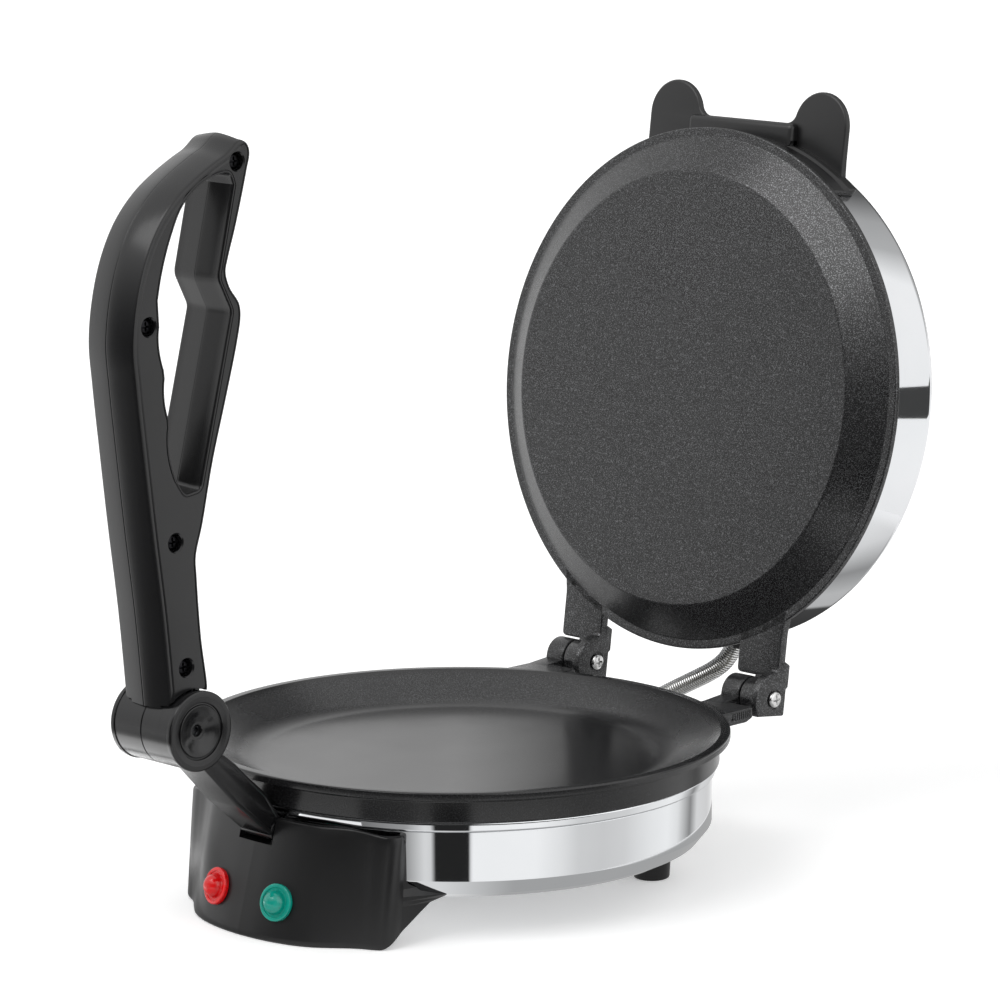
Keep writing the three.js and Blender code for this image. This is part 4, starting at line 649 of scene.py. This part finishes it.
holeFoot = [(-0.122, 0.437), (-0.045, 0.409), (0.095, 0.414), (0.398, 0.71), (0.278, 0.768), (0.428, 0.925)]
gripScrews = [(0.462, 0.963), (-0.347, 0.702), (-0.135, 0.329), (-0.052, 0.11)]


def gripPoints(shares):
    # shares to mm from the barrel's axis
    return np.asarray(shares, float) * (grip["depth"], grip["reach"])


def footed(edge, radius):
    # the open edge run closes along an arc about the barrel; points inside that arc move onto it
    edge = edge.copy()
    near = np.linalg.norm(edge, axis=1) <= radius
    half = len(edge) // 2
    first = int(near[:half].sum())
    last = int(near[half:].sum())
    ends = [math.atan2(edge[len(edge) - 1 - last, 1], edge[len(edge) - 1 - last, 0]),
            math.atan2(edge[first, 1], edge[first, 0])]
    count = first + last + 16
    angle = np.linspace(ends[0], ends[1], count + 2)[1:-1]
    ring = radius * np.column_stack([np.cos(angle), np.sin(angle)])
    edge[len(edge) - last:] = ring[:last]
    edge[:first] = ring[count - first:]
    return np.concatenate([edge, ring[last:count - first]])


def gripShape():
    edge = through(gripPoints(gripFront + gripBack), 1.2)
    run = np.gradient(edge, axis=0)
    outward = unit(np.column_stack([run[:, 1], -run[:, 0]]))
    # the crown only rises on the back, and runs out over the tip
    onBack = np.clip((0.45 - outward[:, :1]) / 0.6, 0, 1)
    wide = 0.5 + 0.5 * onBack
    scallops = [gripPoints([np.array(a) * (1 - t) ** 2 + 2 * np.array(b) * t * (1 - t) + np.array(c) * t ** 2
                            for t in np.linspace(0, 1, 14)])[1:-1] for a, b, c in fingers]
    foot = soften(gripPoints(holeFoot), [0, 3.4, 3.2, 5, 7, 0], 10, closed=False)[:-1]
    top = through(gripPoints(holeTop), 1.5)
    hole = np.concatenate([top] + scallops + [foot])[::-1]
    levels = []
    seam = [(0.05, 0.1), (0.2, 0.02), (0.6, 0), (2.5, 0), (4.5, 0), (6.5, 0), (8.99, 0)]
    side = [(9, 0), (11, 0), (12.4, 0)]
    # rounded bead, groove and flat side face, from the outer edge inwards
    rim = [(13.1, 0), (13.4, 0.08), (13.72, 0.3), (13.93, 0.62), (14, 1.0), (13.98, 1.7), (13.6, 2.05),
           (13.58, 2.5), (13.85, 2.9), (13.87, 3.4)]
    for x, pull in seam + side + rim:
        rise = grip["crown"] * (1 - (x / grip["half"]) ** 1.47)
        shape = edge + outward * (onBack * rise - pull * wide)
        loop = footed(shape, grip["foot"] if x < grip["reliefFrom"] else grip["relief"])
        opening = inset(hole, -grip["draft"] * max(0, 1 - x / 11) + pull * 0.5)
        levels.append(standing((loop, opening), x))
    return skin(levels)


def drumShape():
    # barrel: a wall round the hub that is open where the link leaves, and a full disc by the cap
    wall = np.concatenate([arc(16.5, 0, 0, 50, 263, 90), arc(11.1, 0, 0, 263, 50, 70)])
    disc = lathe([(0, 10.2), (16.48, 10.2), (16.48, 16.4), (12.6, 16.4), (12.6, 13), (0, 13)], 160)
    return [carried([wall], [(0.15, 0.25), (0.4, 0), (10.8, 0)]), moved(disc, toX)]


screwPlaces = [(barrelPlace[1] + y, barrelPlace[2] + z) for y, z in gripPoints(gripScrews)]
handleRight = putPiece("handleHalf.right", [moved(gripShape(), shift=barrelPlace)], "satinBlack", "handle",
                       ["handle_shell_right"])
counterbore = lathe([(0, -6), (3.75, -6), (3.75, -0.75), (4.3, -0.1), (4.3, 2), (0, 2)], 48)
carve(handleRight, [moved(counterbore, toX, (grip["half"], y, z)) for y, z in screwPlaces])
finishEdges(handleRight.data)
flip = np.diag([-1, 1, 1])
putPiece("handleHalf.left", [moved(gripShape(), flip, barrelPlace)], "satinBlack", "handle",
         ["handle_shell_left"])
for name, turn in (("right", None), ("left", flip)):
    putPiece("barrelWall." + name, [moved(s, turn, barrelPlace) for s in drumShape()], "satinBlack", "handle")
# the handle's screws are painted dark grey as shade for their counterbores
screw = recessedScrew(3.1, 1.8, 1.8, 16, 2.0, 0.5, 1.3)
for number, (y, z) in enumerate(screwPlaces, 1):
    putPiece(f"handleScrew.{number}", [moved(screw, toX, (9.85, y, z))], "recessShadeSteel", "handle",
             [f"handle_screw_{number}"])

# barrel caps: turned-looking mouldings with a groove ring and a dished middle
capProfile = soften([(2.4, -3), (12.5, -3), (12.5, 0), (16.9, 0), (16.9, 2.4), (14.6, 2.36), (12.1, 2.1),
                     (11.9, 1.2), (11.2, 1.2), (10.9, 2.05), (8.6, 1.5), (6.2, 0.7), (3.9, 0.15), (2.4, 0.1)],
                    [0.2, 0.2, 0.2, 0.3, 0.8, 1.5, 0.3, 0.2, 0.2, 0.4, 4, 4, 1, 0.6], 5)
cap = moved(lathe(capProfile, 128), toX, (16.43, 0, 0))
for name, turn in (("right", None), ("left", flip)):
    putPiece("barrelCap." + name, [moved(cap, turn, barrelPlace)], "glossBlack", "handle",
             ["barrel_cap_" + name])
print("handle ready")

# link: flat bar between the housing's pin and the hub, with a bead round each side face
linkShares = [(0, 0.36), (0.117, 0.49), (0.221, 0.61), (0.353, 0.56), (0.538, 0.5), (0.665, 0.38), (0.9, 0.3),
              (0.9, -0.55), (0.718, -0.53), (0.356, -0.53), (0, -0.3)]
linkPin, linkHalf = (-117, 44.4), 9.6
linkRun, linkAcross = np.array([-50.7, 53.4]), 12 * np.array([0.7253, 0.6886])
bar = np.array([linkPin + linkRun * a + linkAcross * b for a, b in linkShares])
bar = ccw(soften(bar, [2, 6, 8, 12, 12, 6, 1, 1, 10, 10, 2], 6))
linkEdge = [(9.0, 0), (9.35, 0.1), (9.6, 0.35), (9.7, 0.8), (9.68, 1.3), (9.4, 1.55), (9.4, 2.0), (9.5, 2.2)]
putPiece("linkBar", [carried([bar], [(-x, p) for x, p in linkEdge[::-1]] + linkEdge),
                     moved(prism([circle(10.6, steps=96)], -linkHalf, linkHalf, edge=0.4), shift=barrelPlace),
                     prism([circle(4.3, *linkPin, 48)], -linkHalf, linkHalf, edge=0.4)], "satinBlack", "link",
                     ["link_arm"])
print("link ready")


# front housing: a lofted moulding with a bulging face, a valley and a wing on each side, a heel that
# runs back under the steel bevel, an open top and a slot for the link; half outlines as (x, y)
housingTop = 50.3
faceFoot = [(0, -132.4), (10, -131.8), (20, -130.2), (29, -127.6), (36.5, -124), (42.5, -119.4), (48, -114.6),
            (53, -111), (57.5, -108.8), (61, -106.2), (63, -102.4), (63.3, -97)]
faceTop = [(0, -118.6), (10, -118.3), (19, -117.5), (27, -116.2), (33.5, -114.2), (39.5, -111), (45.5, -107.9),
           (51.5, -106), (57, -104.4), (61.6, -101.6), (64.2, -97.4), (62.4, -92.8)]
heelReach = [(0, 66), (17.5, 66.4), (19.6, 69.5), (21.7, 73), (25, 67), (28.1, 61.6), (60, 61.4)]


def housingLevel(z, pull, lift=0.0, heel=True):
    share = z / housingTop
    foot, top = (evenly(through(side, 0.5), 120) for side in (faceFoot, faceTop))
    side = foot + (top - foot) * share
    heelX = np.interp(z, *zip(*heelReach))
    back = [(58, -60)]
    if heel:
        back = soften([side[-1], (heelX, -78), (58, -60)], [0, 2.4, 0], 5, closed=False)[1:]
    half = np.concatenate([side, back])
    loop = inset(np.concatenate([half, (half * (-1, 1))[::-1][:-1]]), pull)
    # the rim is level over the face and drops towards the wings and their ends
    drop = 1.9 * np.clip((np.abs(loop[:, 0]) - 40) / 20, 0, 1) ** 2
    corner = 2.6 * np.clip((loop[:, 1] + 97.5) / 4.5, 0, 1) ** 2 * (loop[:, 1] > -98)
    return [np.column_stack([loop, np.full(len(loop), z) - lift * (drop + corner)])]


heights = [3, 8, 14, 17.5, 19.6, 21.7, 25, 28.1, 34, 40]
footLevels = [(0, 1.6), (0.25, 0.9), (0.9, 0.3), (1.8, 0)]
rimLevels = [(46, 0, 0.6), (49.3, 0, 1), (49.85, 0.15, 1), (50.15, 0.45, 1), (50.3, 0.95, 1)]
outer = skin([housingLevel(*level) for level in footLevels + [(z, 0) for z in heights] + rimLevels])
cavity = skin([housingLevel(z, 2.6, heel=False) for z in [2.6] + heights[1:] + [55]])
# the slot's two lips follow the face, from x = -half to half
lip = dict(half=15.4, heights=(36.7, 49.9), back=-104, inset=0.6, steps=30)
lipLines = []
for z in lip["heights"]:
    x = np.linspace(-lip["half"], lip["half"], lip["steps"])
    share = z / housingTop
    foot, top = (np.interp(np.abs(x), *zip(*side)) for side in (faceFoot, faceTop))
    y = foot * (1 - share) + top * share + lip["inset"]
    lipLines.append([np.column_stack([np.append(x, [lip["half"], -lip["half"]]),
                                      np.append(y, [lip["back"]] * 2), np.full(lip["steps"] + 2, z)])])
# room for the steel body and its foot, for what lies behind the heel and for the link's slot
bodyRoom = lathe([(0, 19.25), (102.5, 19.25), (107.05, 21.65), (112.05, 28.05), (112.05, 60), (0, 60)], 256)
behind = prism([[(-106.6, -1), (5, -1), (5, 28.7), (-78.3, 28.7), (-78.3, 20.2), (-105.7, 0)]], -90, 90)
slotRoom = prism([[(-140, 39.1), (-100, 39.1), (-100, 60), (-140, 60)]], -10.2, 10.2, edge=0.3)

housing = putPiece("frontHousing", [outer], "mouldedBlack", "base", ["front_housing"])
carve(housing, [cavity])
carve(housing, [skin(lipLines)], keep="UNION")
carve(housing, [bodyRoom, behind, slotRoom])
finishEdges(housing.data, 28)
print("housing ready")

# signal lamps: lens with a ring, a groove and a dome, its sleeve behind the face, neon lamp inside
lamp = dict(x=18.7, z=16.9, faceHeight=49.6, front=133, frontLean=14.3, corner=127, cornerLean=11.6,
            half=35, halfLean=3.7, domeRadius=5.0, domeFoot=1.6, domeHeight=4.5)
lensRing = [(0, -0.9), (4, -0.9), (4, -12), (5.2, -12), (5.2, -0.5), (8, -0.5), (8, 1.35), (6.5, 1.5),
            (6.2, 0.9), (5.4, 0.9), (5.1, 1.4)]
lensDome = [(lamp["domeRadius"] * math.cos(a), lamp["domeFoot"] + lamp["domeHeight"] * math.sin(a))
            for a in np.linspace(0.05, math.pi / 2, 18)]
lensProfile = np.concatenate([soften(lensRing, [0, 0.4, 0.2, 0.2, 0.2, 0.2, 0.6, 0.4, 0.2, 0.2, 0], 5,
                                     closed=False), lensDome])
lensProfile[-1, 0] = 0
bulb = soften([(0, -14), (3.1, -14), (3.1, -1.6), (0, -1.2)], [0, 1, 2.6, 0], 8, closed=False)
# the face is a parabola across x that leans back with height; the lamps stand square to it
share = lamp["z"] / lamp["faceHeight"]
front, corner, half = (lamp[key] - lamp[key + "Lean"] * share for key in ("front", "corner", "half"))
across = lamp["x"] / half
for side, name in ((-1, "red"), (1, "green")):
    place = (side * lamp["x"], -(front + (corner - front) * across ** 2), lamp["z"])
    direction = (side * 2 * (front - corner) * across / half, -1, lamp["frontLean"] / lamp["faceHeight"])
    for label, profile, steps, finish, stands in (("lens.", lensProfile, 96, name + "LensPlastic", "_lens"),
                                                  ("neonLamp.", bulb, 48, "lampGlass", "_neon_lamp")):
        putPiece(label + name, [moved(lathe(profile, steps), aimed(direction), place)], finish, "base",
                 [name + stands])
print("lamps ready")

# press saddle on the cover: hoop sector, lifting tabs with rounded tops and a bar with filleted ends
saddle = dict(inner=115.55, front=117.9, outer=119.2, low=4.1, step=15.1, top=23.29, half=35, tabX=44.3,
              tabCentre=124.3, tabRadius=15.8, tabThick=3.4, barReach=124.8, barLow=15.29, barHigh=24.79,
              barHalf=31, fillet=6)


def hoopShape():
    inner, front, outer, low, step, top = pick(saddle, "inner", "front", "outer", "low", "step", "top")
    levels = []
    arcHalf = math.radians(saddle["half"]) * outer
    ends = np.array([0, 0.1, 0.35, 0.7, 1.2, 1.9, 2.8, 4])
    for s in np.concatenate([-arcHalf + ends, np.linspace(-arcHalf + 5, arcHalf - 5, 70),
                             arcHalf - ends[::-1]]):
        near = arcHalf - abs(s)
        # both rims round off towards the ends: a quarter circle of 3 mm above, 0.7 mm all round
        crest = top - (3 - math.sqrt(9 - (3 - min(near, 3)) ** 2))
        pull = 0.7 - math.sqrt(0.49 - (0.7 - min(near, 0.7)) ** 2)
        loop = soften([(inner, low), (front, low), (front, step), (outer, step + 1.3), (outer, crest),
                       (inner, crest)], [0.3, 0.7, 1, 1, 1.2, 0.4], 5)
        loop = inset(loop, pull * 0.8)
        angle = s / outer
        levels.append([np.column_stack([loop[:, 0] * math.sin(angle), -loop[:, 0] * math.cos(angle),
                                        loop[:, 1]])])
    return skin(levels)


def tabShape(side):
    r, f, cx, reach, top = pick(saddle, "tabRadius", "fillet", "tabX", "barReach", "top")
    # the fillet's circle touches the tab's arc and the bar's front line
    cy, fy = -saddle["tabCentre"], -reach - f
    fx = cx - math.sqrt((r + f) ** 2 - (fy - cy) ** 2)
    touch = math.degrees(math.atan2(fy - cy, fx - cx)) % 360
    outline = np.concatenate([[(cx + r, -96), (cx + r, cy + 14)], arc(r, cx, cy, 0, touch - 360, 60),
                              arc(f, fx, fy, touch - 180, 90, 16)[1:],
                              [(fx - 3, 0.05 - reach), (fx - 3, -112)]])
    return prism([ccw(outline * (side, 1))], top - saddle["tabThick"], top, along="z", edge=1.25, steps=6)


def barShape():
    reach, low, high = saddle["barReach"], saddle["barLow"], saddle["barHigh"]
    loop = soften([(-114.5, low), (-114.5, high), (-reach, high), (-reach, low)], [0.3, 0.3, 3.4, 3.0], 8)
    return prism([ccw(loop)], -saddle["barHalf"] - 0.8, saddle["barHalf"] + 0.8, edge=2.4, steps=6)


putPiece("pressSaddle", [openLid(moved(s, shift=(0, -hingeY, 0)))
                         for s in (hoopShape(), tabShape(-1), tabShape(1), barShape())], "mouldedBlack", "lid",
                         ["press_saddle"])
print("saddle ready")

# hinge shoulder screws, driven from +X
screw = recessedScrew(3.7, 1.9, 2.6, 21.5, 2.2, 0.55, 1.2)
for left, name in zip(hingeLefts, sides):
    putPiece("hingeScrew." + name, [moved(screw, toX, (left + 24.4, hingeY, hingeZ))], "brightZinc", "base",
             ["hinge_screw_" + name])

# wound conduit: a wire helix round a path that leaves the body, bends and enters the lid's cup
coil = dict(radius=3.85, wire=0.46, pitch=1.25, perTurn=18, sides=6, calm=20, core=2.6, coreSides=24)
conduit = dict(bodyPlace=(-30, 107.9, 38.4), bodyWay=(-0.268, 0.963, 0), lidPlace=(27, 155.5, 88.15),
               lidWay=(0.5, 0.12, 0.857), collar=3.74, straight=5, bodyBow=31.2, lidBow=16.6,
               crest=(0, 151.5, 68.4))


def bezier(marks, count):
    # Bernstein sum of the marks: C(n, i) t^i (1 - t)^(n - i) times mark i
    t = np.linspace(0, 1, count)[:, None]
    n = len(marks) - 1
    return sum(math.comb(n, i) * t ** i * (1 - t) ** (n - i) * mark for i, mark in enumerate(marks))


def conduitPath():
    leave, enter = unit(conduit["bodyWay"]), unit(conduit["lidWay"])
    start = conduit["bodyPlace"] + leave * conduit["collar"]
    end = conduit["lidPlace"] - enter * conduit["collar"]
    first, last = start + leave * conduit["straight"], end - enter * conduit["straight"]
    bow = [first, first + leave * conduit["bodyBow"], np.array(conduit["crest"]),
           last - enter * conduit["lidBow"], last]
    return np.concatenate([[start], bezier(bow, 90), [end]])


def squareTo(way, hint):
    # two directions square to each other and to the way
    side = unit(np.cross(way, hint))
    return side, np.cross(way, side)


def tube(centres, first, second, radius, sides):
    # circles about the centre line, in the plane of the two directions
    angle = np.linspace(0, 2 * np.pi, sides, endpoint=False)[:, None, None]
    rings = centres + radius * (np.cos(angle) * first + np.sin(angle) * second)
    return skin([[ring] for ring in rings.transpose(1, 0, 2)])


def coilShapes(path):
    run = runOf(path)
    centre = readAt(path, run, np.linspace(0, run[-1], int(run[-1] / coil["pitch"]) * coil["perTurn"]))
    # the way is averaged over some points on each side, so that the turns lean smoothly
    window = 2 * coil["calm"] + 1
    way = unit(np.stack([np.convolve(np.pad(column, coil["calm"], mode="edge"), np.ones(window) / window,
                                     "valid") for column in np.gradient(centre, axis=0).T], 1))
    side, other = squareTo(way, (0.85, -0.5, -0.1))
    turn = (np.arange(len(centre)) / coil["perTurn"] * 2 * np.pi)[:, None]
    out = np.cos(turn) * side + np.sin(turn) * other
    wire = centre + coil["radius"] * out
    across = np.cross(unit(np.gradient(wire, axis=0)), out)
    core = readAt(path, run, np.linspace(-5, run[-1] + 5, 70)[5:-5])
    square = squareTo(unit(np.gradient(core, axis=0)), (0.31, 0.22, 0.93))
    return [tube(wire, out, across, coil["wire"], coil["sides"]),
            tube(core, *square, coil["core"], coil["coreSides"])]


coilPath = conduitPath()
conduitParts = (("conduitCoil", "brightZinc", "conduit_spring"),
                ("wireSleeve", "glassFibreSleeve", "lid_wires"))
for (name, finish, stands), shape in zip(conduitParts, coilShapes(coilPath)):
    piece = putPiece(name, [shape], finish, None, [stands])
    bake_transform(piece)
print("conduit ready")

# cord gland and the conduit's two sleeves, rounded where a hand or a wire meets them
gland = dict(bore=3.6, radius=6, flange=8.4, height=1.8, inside=6, turn=math.radians(24), z=37.4, seat=112.05)
collar = dict(bore=3, radius=5.3, out=3, inside=4)
bore, wide, flange, high, inside = pick(gland, "bore", "radius", "flange", "height", "inside")
glandProfile = [(bore, -inside), (wide - 0.3, -inside), (wide, 0.3 - inside), (wide, 0), (flange - 0.1, 0),
                (flange, 0.1), (flange, high - 0.7), (flange - 0.2, high - 0.2), (flange - 0.7, high),
                (bore + 1, high), (bore + 0.3, high - 0.3), (bore, high - 1)]
bore, wide, out, inside = pick(collar, "bore", "radius", "out", "inside")
collarProfile = [(bore, -inside), (wide - 0.2, -inside), (wide, 0.2 - inside), (wide, out - 0.6),
                 (wide - 0.2, out - 0.15), (wide - 0.6, out), (bore + 0.5, out), (bore + 0.12, out - 0.12),
                 (bore, out - 0.5)]
glandWay = np.array([math.sin(gland["turn"]), math.cos(gland["turn"]), 0])
for name, node, profile, steps, way, place, body in (
        ("cordGland", "cord_gland", glandProfile, 96, glandWay,
         glandWay * gland["seat"] + (0, 0, gland["z"]), "base"),
        ("conduitCollar.body", "conduit_sleeve_body", collarProfile, 72, conduit["bodyWay"],
         conduit["bodyPlace"], "base"),
        ("conduitCollar.lid", "conduit_sleeve_lid", collarProfile, 72, -np.array(conduit["lidWay"]),
         conduit["lidPlace"], "lid")):
    putPiece(name, [moved(lathe(profile, steps), aimed(way), place)], "mouldedBlack", body, [node])
print("collars done")


# studio

studio = dict(cameraPlace=(1.3858, -1.3760, 0.5362), cameraTurn=(79.3765, 0, 44.6642), lens=163.71,
              worldLevel=0.7, keyTurn=(48, 0, -12), keyLevel=1.15, keySpread=50, fillTurn=(62, 0, 100),
              fillLevel=0.45, fillSpread=70, floorTone="#fbfbfb", floorLift=0.29, mirrorDrop=0.24)

cameraData = bpy.data.cameras.new("camera")
cameraData.lens = studio["lens"]
cameraData.sensor_width = 36
cameraData.clip_end = 50
camera = addObject("camera", cameraData)
camera.location = studio["cameraPlace"]
camera.rotation_euler = [math.radians(a) for a in studio["cameraTurn"]]
bpy.context.scene.camera = camera


def viewRays(tree):
    # 1 for rays from the camera, from gloss and through glass; 0 for the rest
    rays = addNode(tree, "LightPath").outputs
    camera, glossy, clear = (rays[f"Is {kind} Ray"] for kind in ("Camera", "Glossy", "Transmission"))
    either = addNode(tree, "Math", (camera, glossy), operation="MAXIMUM").outputs[0]
    return addNode(tree, "Math", (either, clear), operation="MAXIMUM").outputs[0]


world = bpy.data.worlds.new("studioWorld")
bpy.context.scene.world = world
tree = emptyTree(world)
level = addNode(tree, "MapRange", (viewRays(tree), 0, 1, studio["worldLevel"], 1)).outputs[0]
sky = addNode(tree, "Background", {"Color": (1, 1, 1, 1), "Strength": level})
addNode(tree, "OutputWorld", {"Surface": sky.outputs["Background"]})

for name in ("key", "fill"):
    lightData = bpy.data.lights.new(name + "Light", "SUN")
    lightData.energy = studio[name + "Level"]
    lightData.angle = math.radians(studio[name + "Spread"])
    addObject(name + "Light", lightData).rotation_euler = [math.radians(a) for a in studio[name + "Turn"]]

floorMesh = bpy.data.meshes.new("studioFloor")
floorMesh.from_pydata([(-9, -9, 0), (9, -9, 0), (9, 9, 0), (-9, 9, 0)], [], [(0, 1, 2, 3)])
floor = addObject("studioFloor", floorMesh)
floorPaint = bpy.data.materials.new("floorPaint")
tree = emptyTree(floorPaint)
matt = addNode(tree, "BsdfDiffuse", {"Color": linear(studio["floorTone"])})
lift = addNode(tree, "MapRange", (viewRays(tree), 0, 1, 0, studio["floorLift"])).outputs[0]
# the floor that reflections see is a little less bright, so that steel doesn't clip to white
mirrored = addNode(tree, "LightPath").outputs["Is Glossy Ray"]
lift = addNode(tree, "Math", (mirrored, -studio["mirrorDrop"], lift), operation="MULTIPLY_ADD").outputs[0]
glow = addNode(tree, "Emission", {"Strength": lift})
both = addNode(tree, "AddShader", (matt.outputs[0], glow.outputs[0]))
addNode(tree, "OutputMaterial", {"Surface": both.outputs[0]})
floorMesh.materials.append(floorPaint)


def addCurtain(name, radii, heights, stops, fade=0, columns=90):
    # upright or flat strip of a ring about the part's axis that only reflections see, from the first radius and
    # height to the second; stops are (azimuth, brightness), and fade in mm softens a flat one's
    # edges or an upright one's top
    (first, firstTone), (last, lastTone) = stops[0], stops[-1]
    angle = np.radians(np.linspace(first, last, columns))
    ring = np.column_stack([np.cos(angle), np.sin(angle)])
    points = np.concatenate([np.column_stack([ring * radius, np.full(columns, height)])
                             for radius, height in zip(radii, heights)]) * mm
    index = np.arange(columns - 1)
    faces = np.stack([index, index + 1, index + columns + 1, index + columns], 1)
    mesh = bpy.data.meshes.new(name)
    mesh.from_pydata(points.tolist(), [], faces.tolist())
    paint = bpy.data.materials.new(name + "Paint")
    tree = emptyTree(paint)
    place = addNode(tree, "TexCoord").outputs["Object"]
    axes = addNode(tree, "SeparateXYZ", {"Vector": place}).outputs
    turn = addNode(tree, "Math", (axes["Y"], axes["X"]), operation="ARCTAN2").outputs[0]
    if last > 180:
        # azimuths past 180 degrees come as negative ones, and get a full turn more
        lower = addNode(tree, "Math", (turn, 0), operation="LESS_THAN").outputs[0]
        turn = addNode(tree, "Math", (lower, 2 * math.pi, turn), operation="MULTIPLY_ADD").outputs[0]
    share = addNode(tree, "MapRange", (turn, math.radians(first), math.radians(last), 0, 1)).outputs[0]
    ramp = addNode(tree, "ValToRGB", (share,))
    spots = ramp.color_ramp.elements
    for azimuth, tone in stops[1:-1]:
        spots.new((azimuth - first) / (last - first)).color = (tone, tone, tone, 1)
    for spot, tone in ((spots[0], firstTone), (spots[-1], lastTone)):
        spot.color = (tone, tone, tone, 1)
    glow = addNode(tree, "Emission", {"Color": ramp.outputs["Color"]}).outputs[0]
    if fade:
        if heights[0] != heights[1]:
            mask = addNode(tree, "MapRange", (axes["Z"], heights[1] * mm, (heights[1] - fade) * mm, 0, 1),
                           interpolation_type="SMOOTHSTEP").outputs[0]
        else:
            flat = addNode(tree, "VectorMath", (place, (1, 1, 0)), operation="MULTIPLY").outputs[0]
            away = addNode(tree, "VectorMath", (flat,), operation="LENGTH").outputs["Value"]
            edges = [addNode(tree, "MapRange", (away, radius * mm, (radius + way * fade) * mm, 0, 1),
                             interpolation_type="SMOOTHSTEP").outputs[0] for radius, way in zip(radii, (1, -1))]
            mask = addNode(tree, "Math", edges, operation="MULTIPLY").outputs[0]
        plain = addNode(tree, "Emission", {"Strength": 1.0}).outputs[0]
        glow = addNode(tree, "MixShader", (mask, plain, glow)).outputs[0]
    addNode(tree, "OutputMaterial", {"Surface": glow})
    mesh.materials.append(paint)
    curtain = addObject(name, mesh)
    curtain.visible_camera = curtain.visible_diffuse = curtain.visible_shadow = False
    curtain.visible_transmission = False


# name, radii, heights, stops and fade of each, in mm; the flat ones lie cardHeight over the floor
cardHeight = 0.8
flat = (cardHeight, cardHeight)
curtains = [
    ("lowCards", (190, 190), (0, 39), [
        (-75, 0.2), (-60.9, 0.36), (-55.1, 0.8), (-52.8, 0.72), (-52.4, 0.02), (-41.5, 0.02), (-40.9, 1.03),
        (-20.6, 1.03), (-11.8, 0.88), (-5.9, 0.72), (3.1, 0.68), (12.2, 0.73), (18.4, 0.84), (24.7, 0.93),
        (34.4, 1.01), (41.1, 0.89), (44.4, 0.67), (51.3, 0.28), (58.3, 0.76), (72.8, 0.69), (88.1, 0.88),
        (110, 0.9)], 0),
    ("backCards", (190, 190), (0, 31), [
        (110, 0.9), (118, 0.5), (124, 0.9), (146, 1), (158, 0.8), (166, 0.25), (172, 0.18), (178, 0.8),
        (205, 1), (222, 0.75), (236, 0.4), (240, 0.85), (262, 0.5)], 0),
    ("cameraFlag", (900, 900), (0, 800), [
        (-128, 1), (-119, 0.3), (-112, 0.04), (-62, 0.02), (-40, 0.02), (-35, 0.5), (-30, 1)], 560),
    ("lidFlag", (900, 900), (260, 1000), [
        (56, 1), (68, 1), (77, 0.5), (87, 0.42), (98, 0.13), (107, 0.045), (115, 0.07), (123, 0.2), (132, 0.5),
        (140, 1)], 0),
    ("panFlag", (700, 700), (110, 330), [(98, 0.1), (126, 0.08), (131, 0.45), (136, 1)], 0),
    ("horizonFlag", (890, 890), (80, 203), [(44, 0.6), (46, 0.06), (68, 0.06), (70, 0.6)], 0),
    ("frontCard", (325, 895), flat, [(-124, 1.05), (-116, 0.3), (-110, 0.03), (8, 0.03), (22, 1.05)], 40),
    # painted shadow: a grey ring under the body stands in for the floor's shadow that the steel bevel reflects
    ("underShadowCard", (60, 187), flat, [(-180, 0.42), (-90, 0.42), (-74, 0.8), (-50, 0.8), (-30, 0.42),
                                    (180, 0.42)], 4),
    ("leftCard", (150, 320), flat, [(-156, 1.05), (-146, 3), (-112, 3), (-104, 1.05)], 20),
    # painted shadow: dark where the body's shadow falls on the floor behind it, as the steel reflects it
    ("backCard", (206, 410), flat, [
        (54, 1.05), (65, 0.75), (72, 0.31), (79, 0.53), (84.5, 0.5), (86, 0.06), (97, 0.04), (125, 0.04),
        (155, 1.05)], 40)]
for curtain in curtains:
    addCurtain(*curtain)

view = bpy.context.scene.view_settings
view.view_transform = "Standard"
print("studio ready")
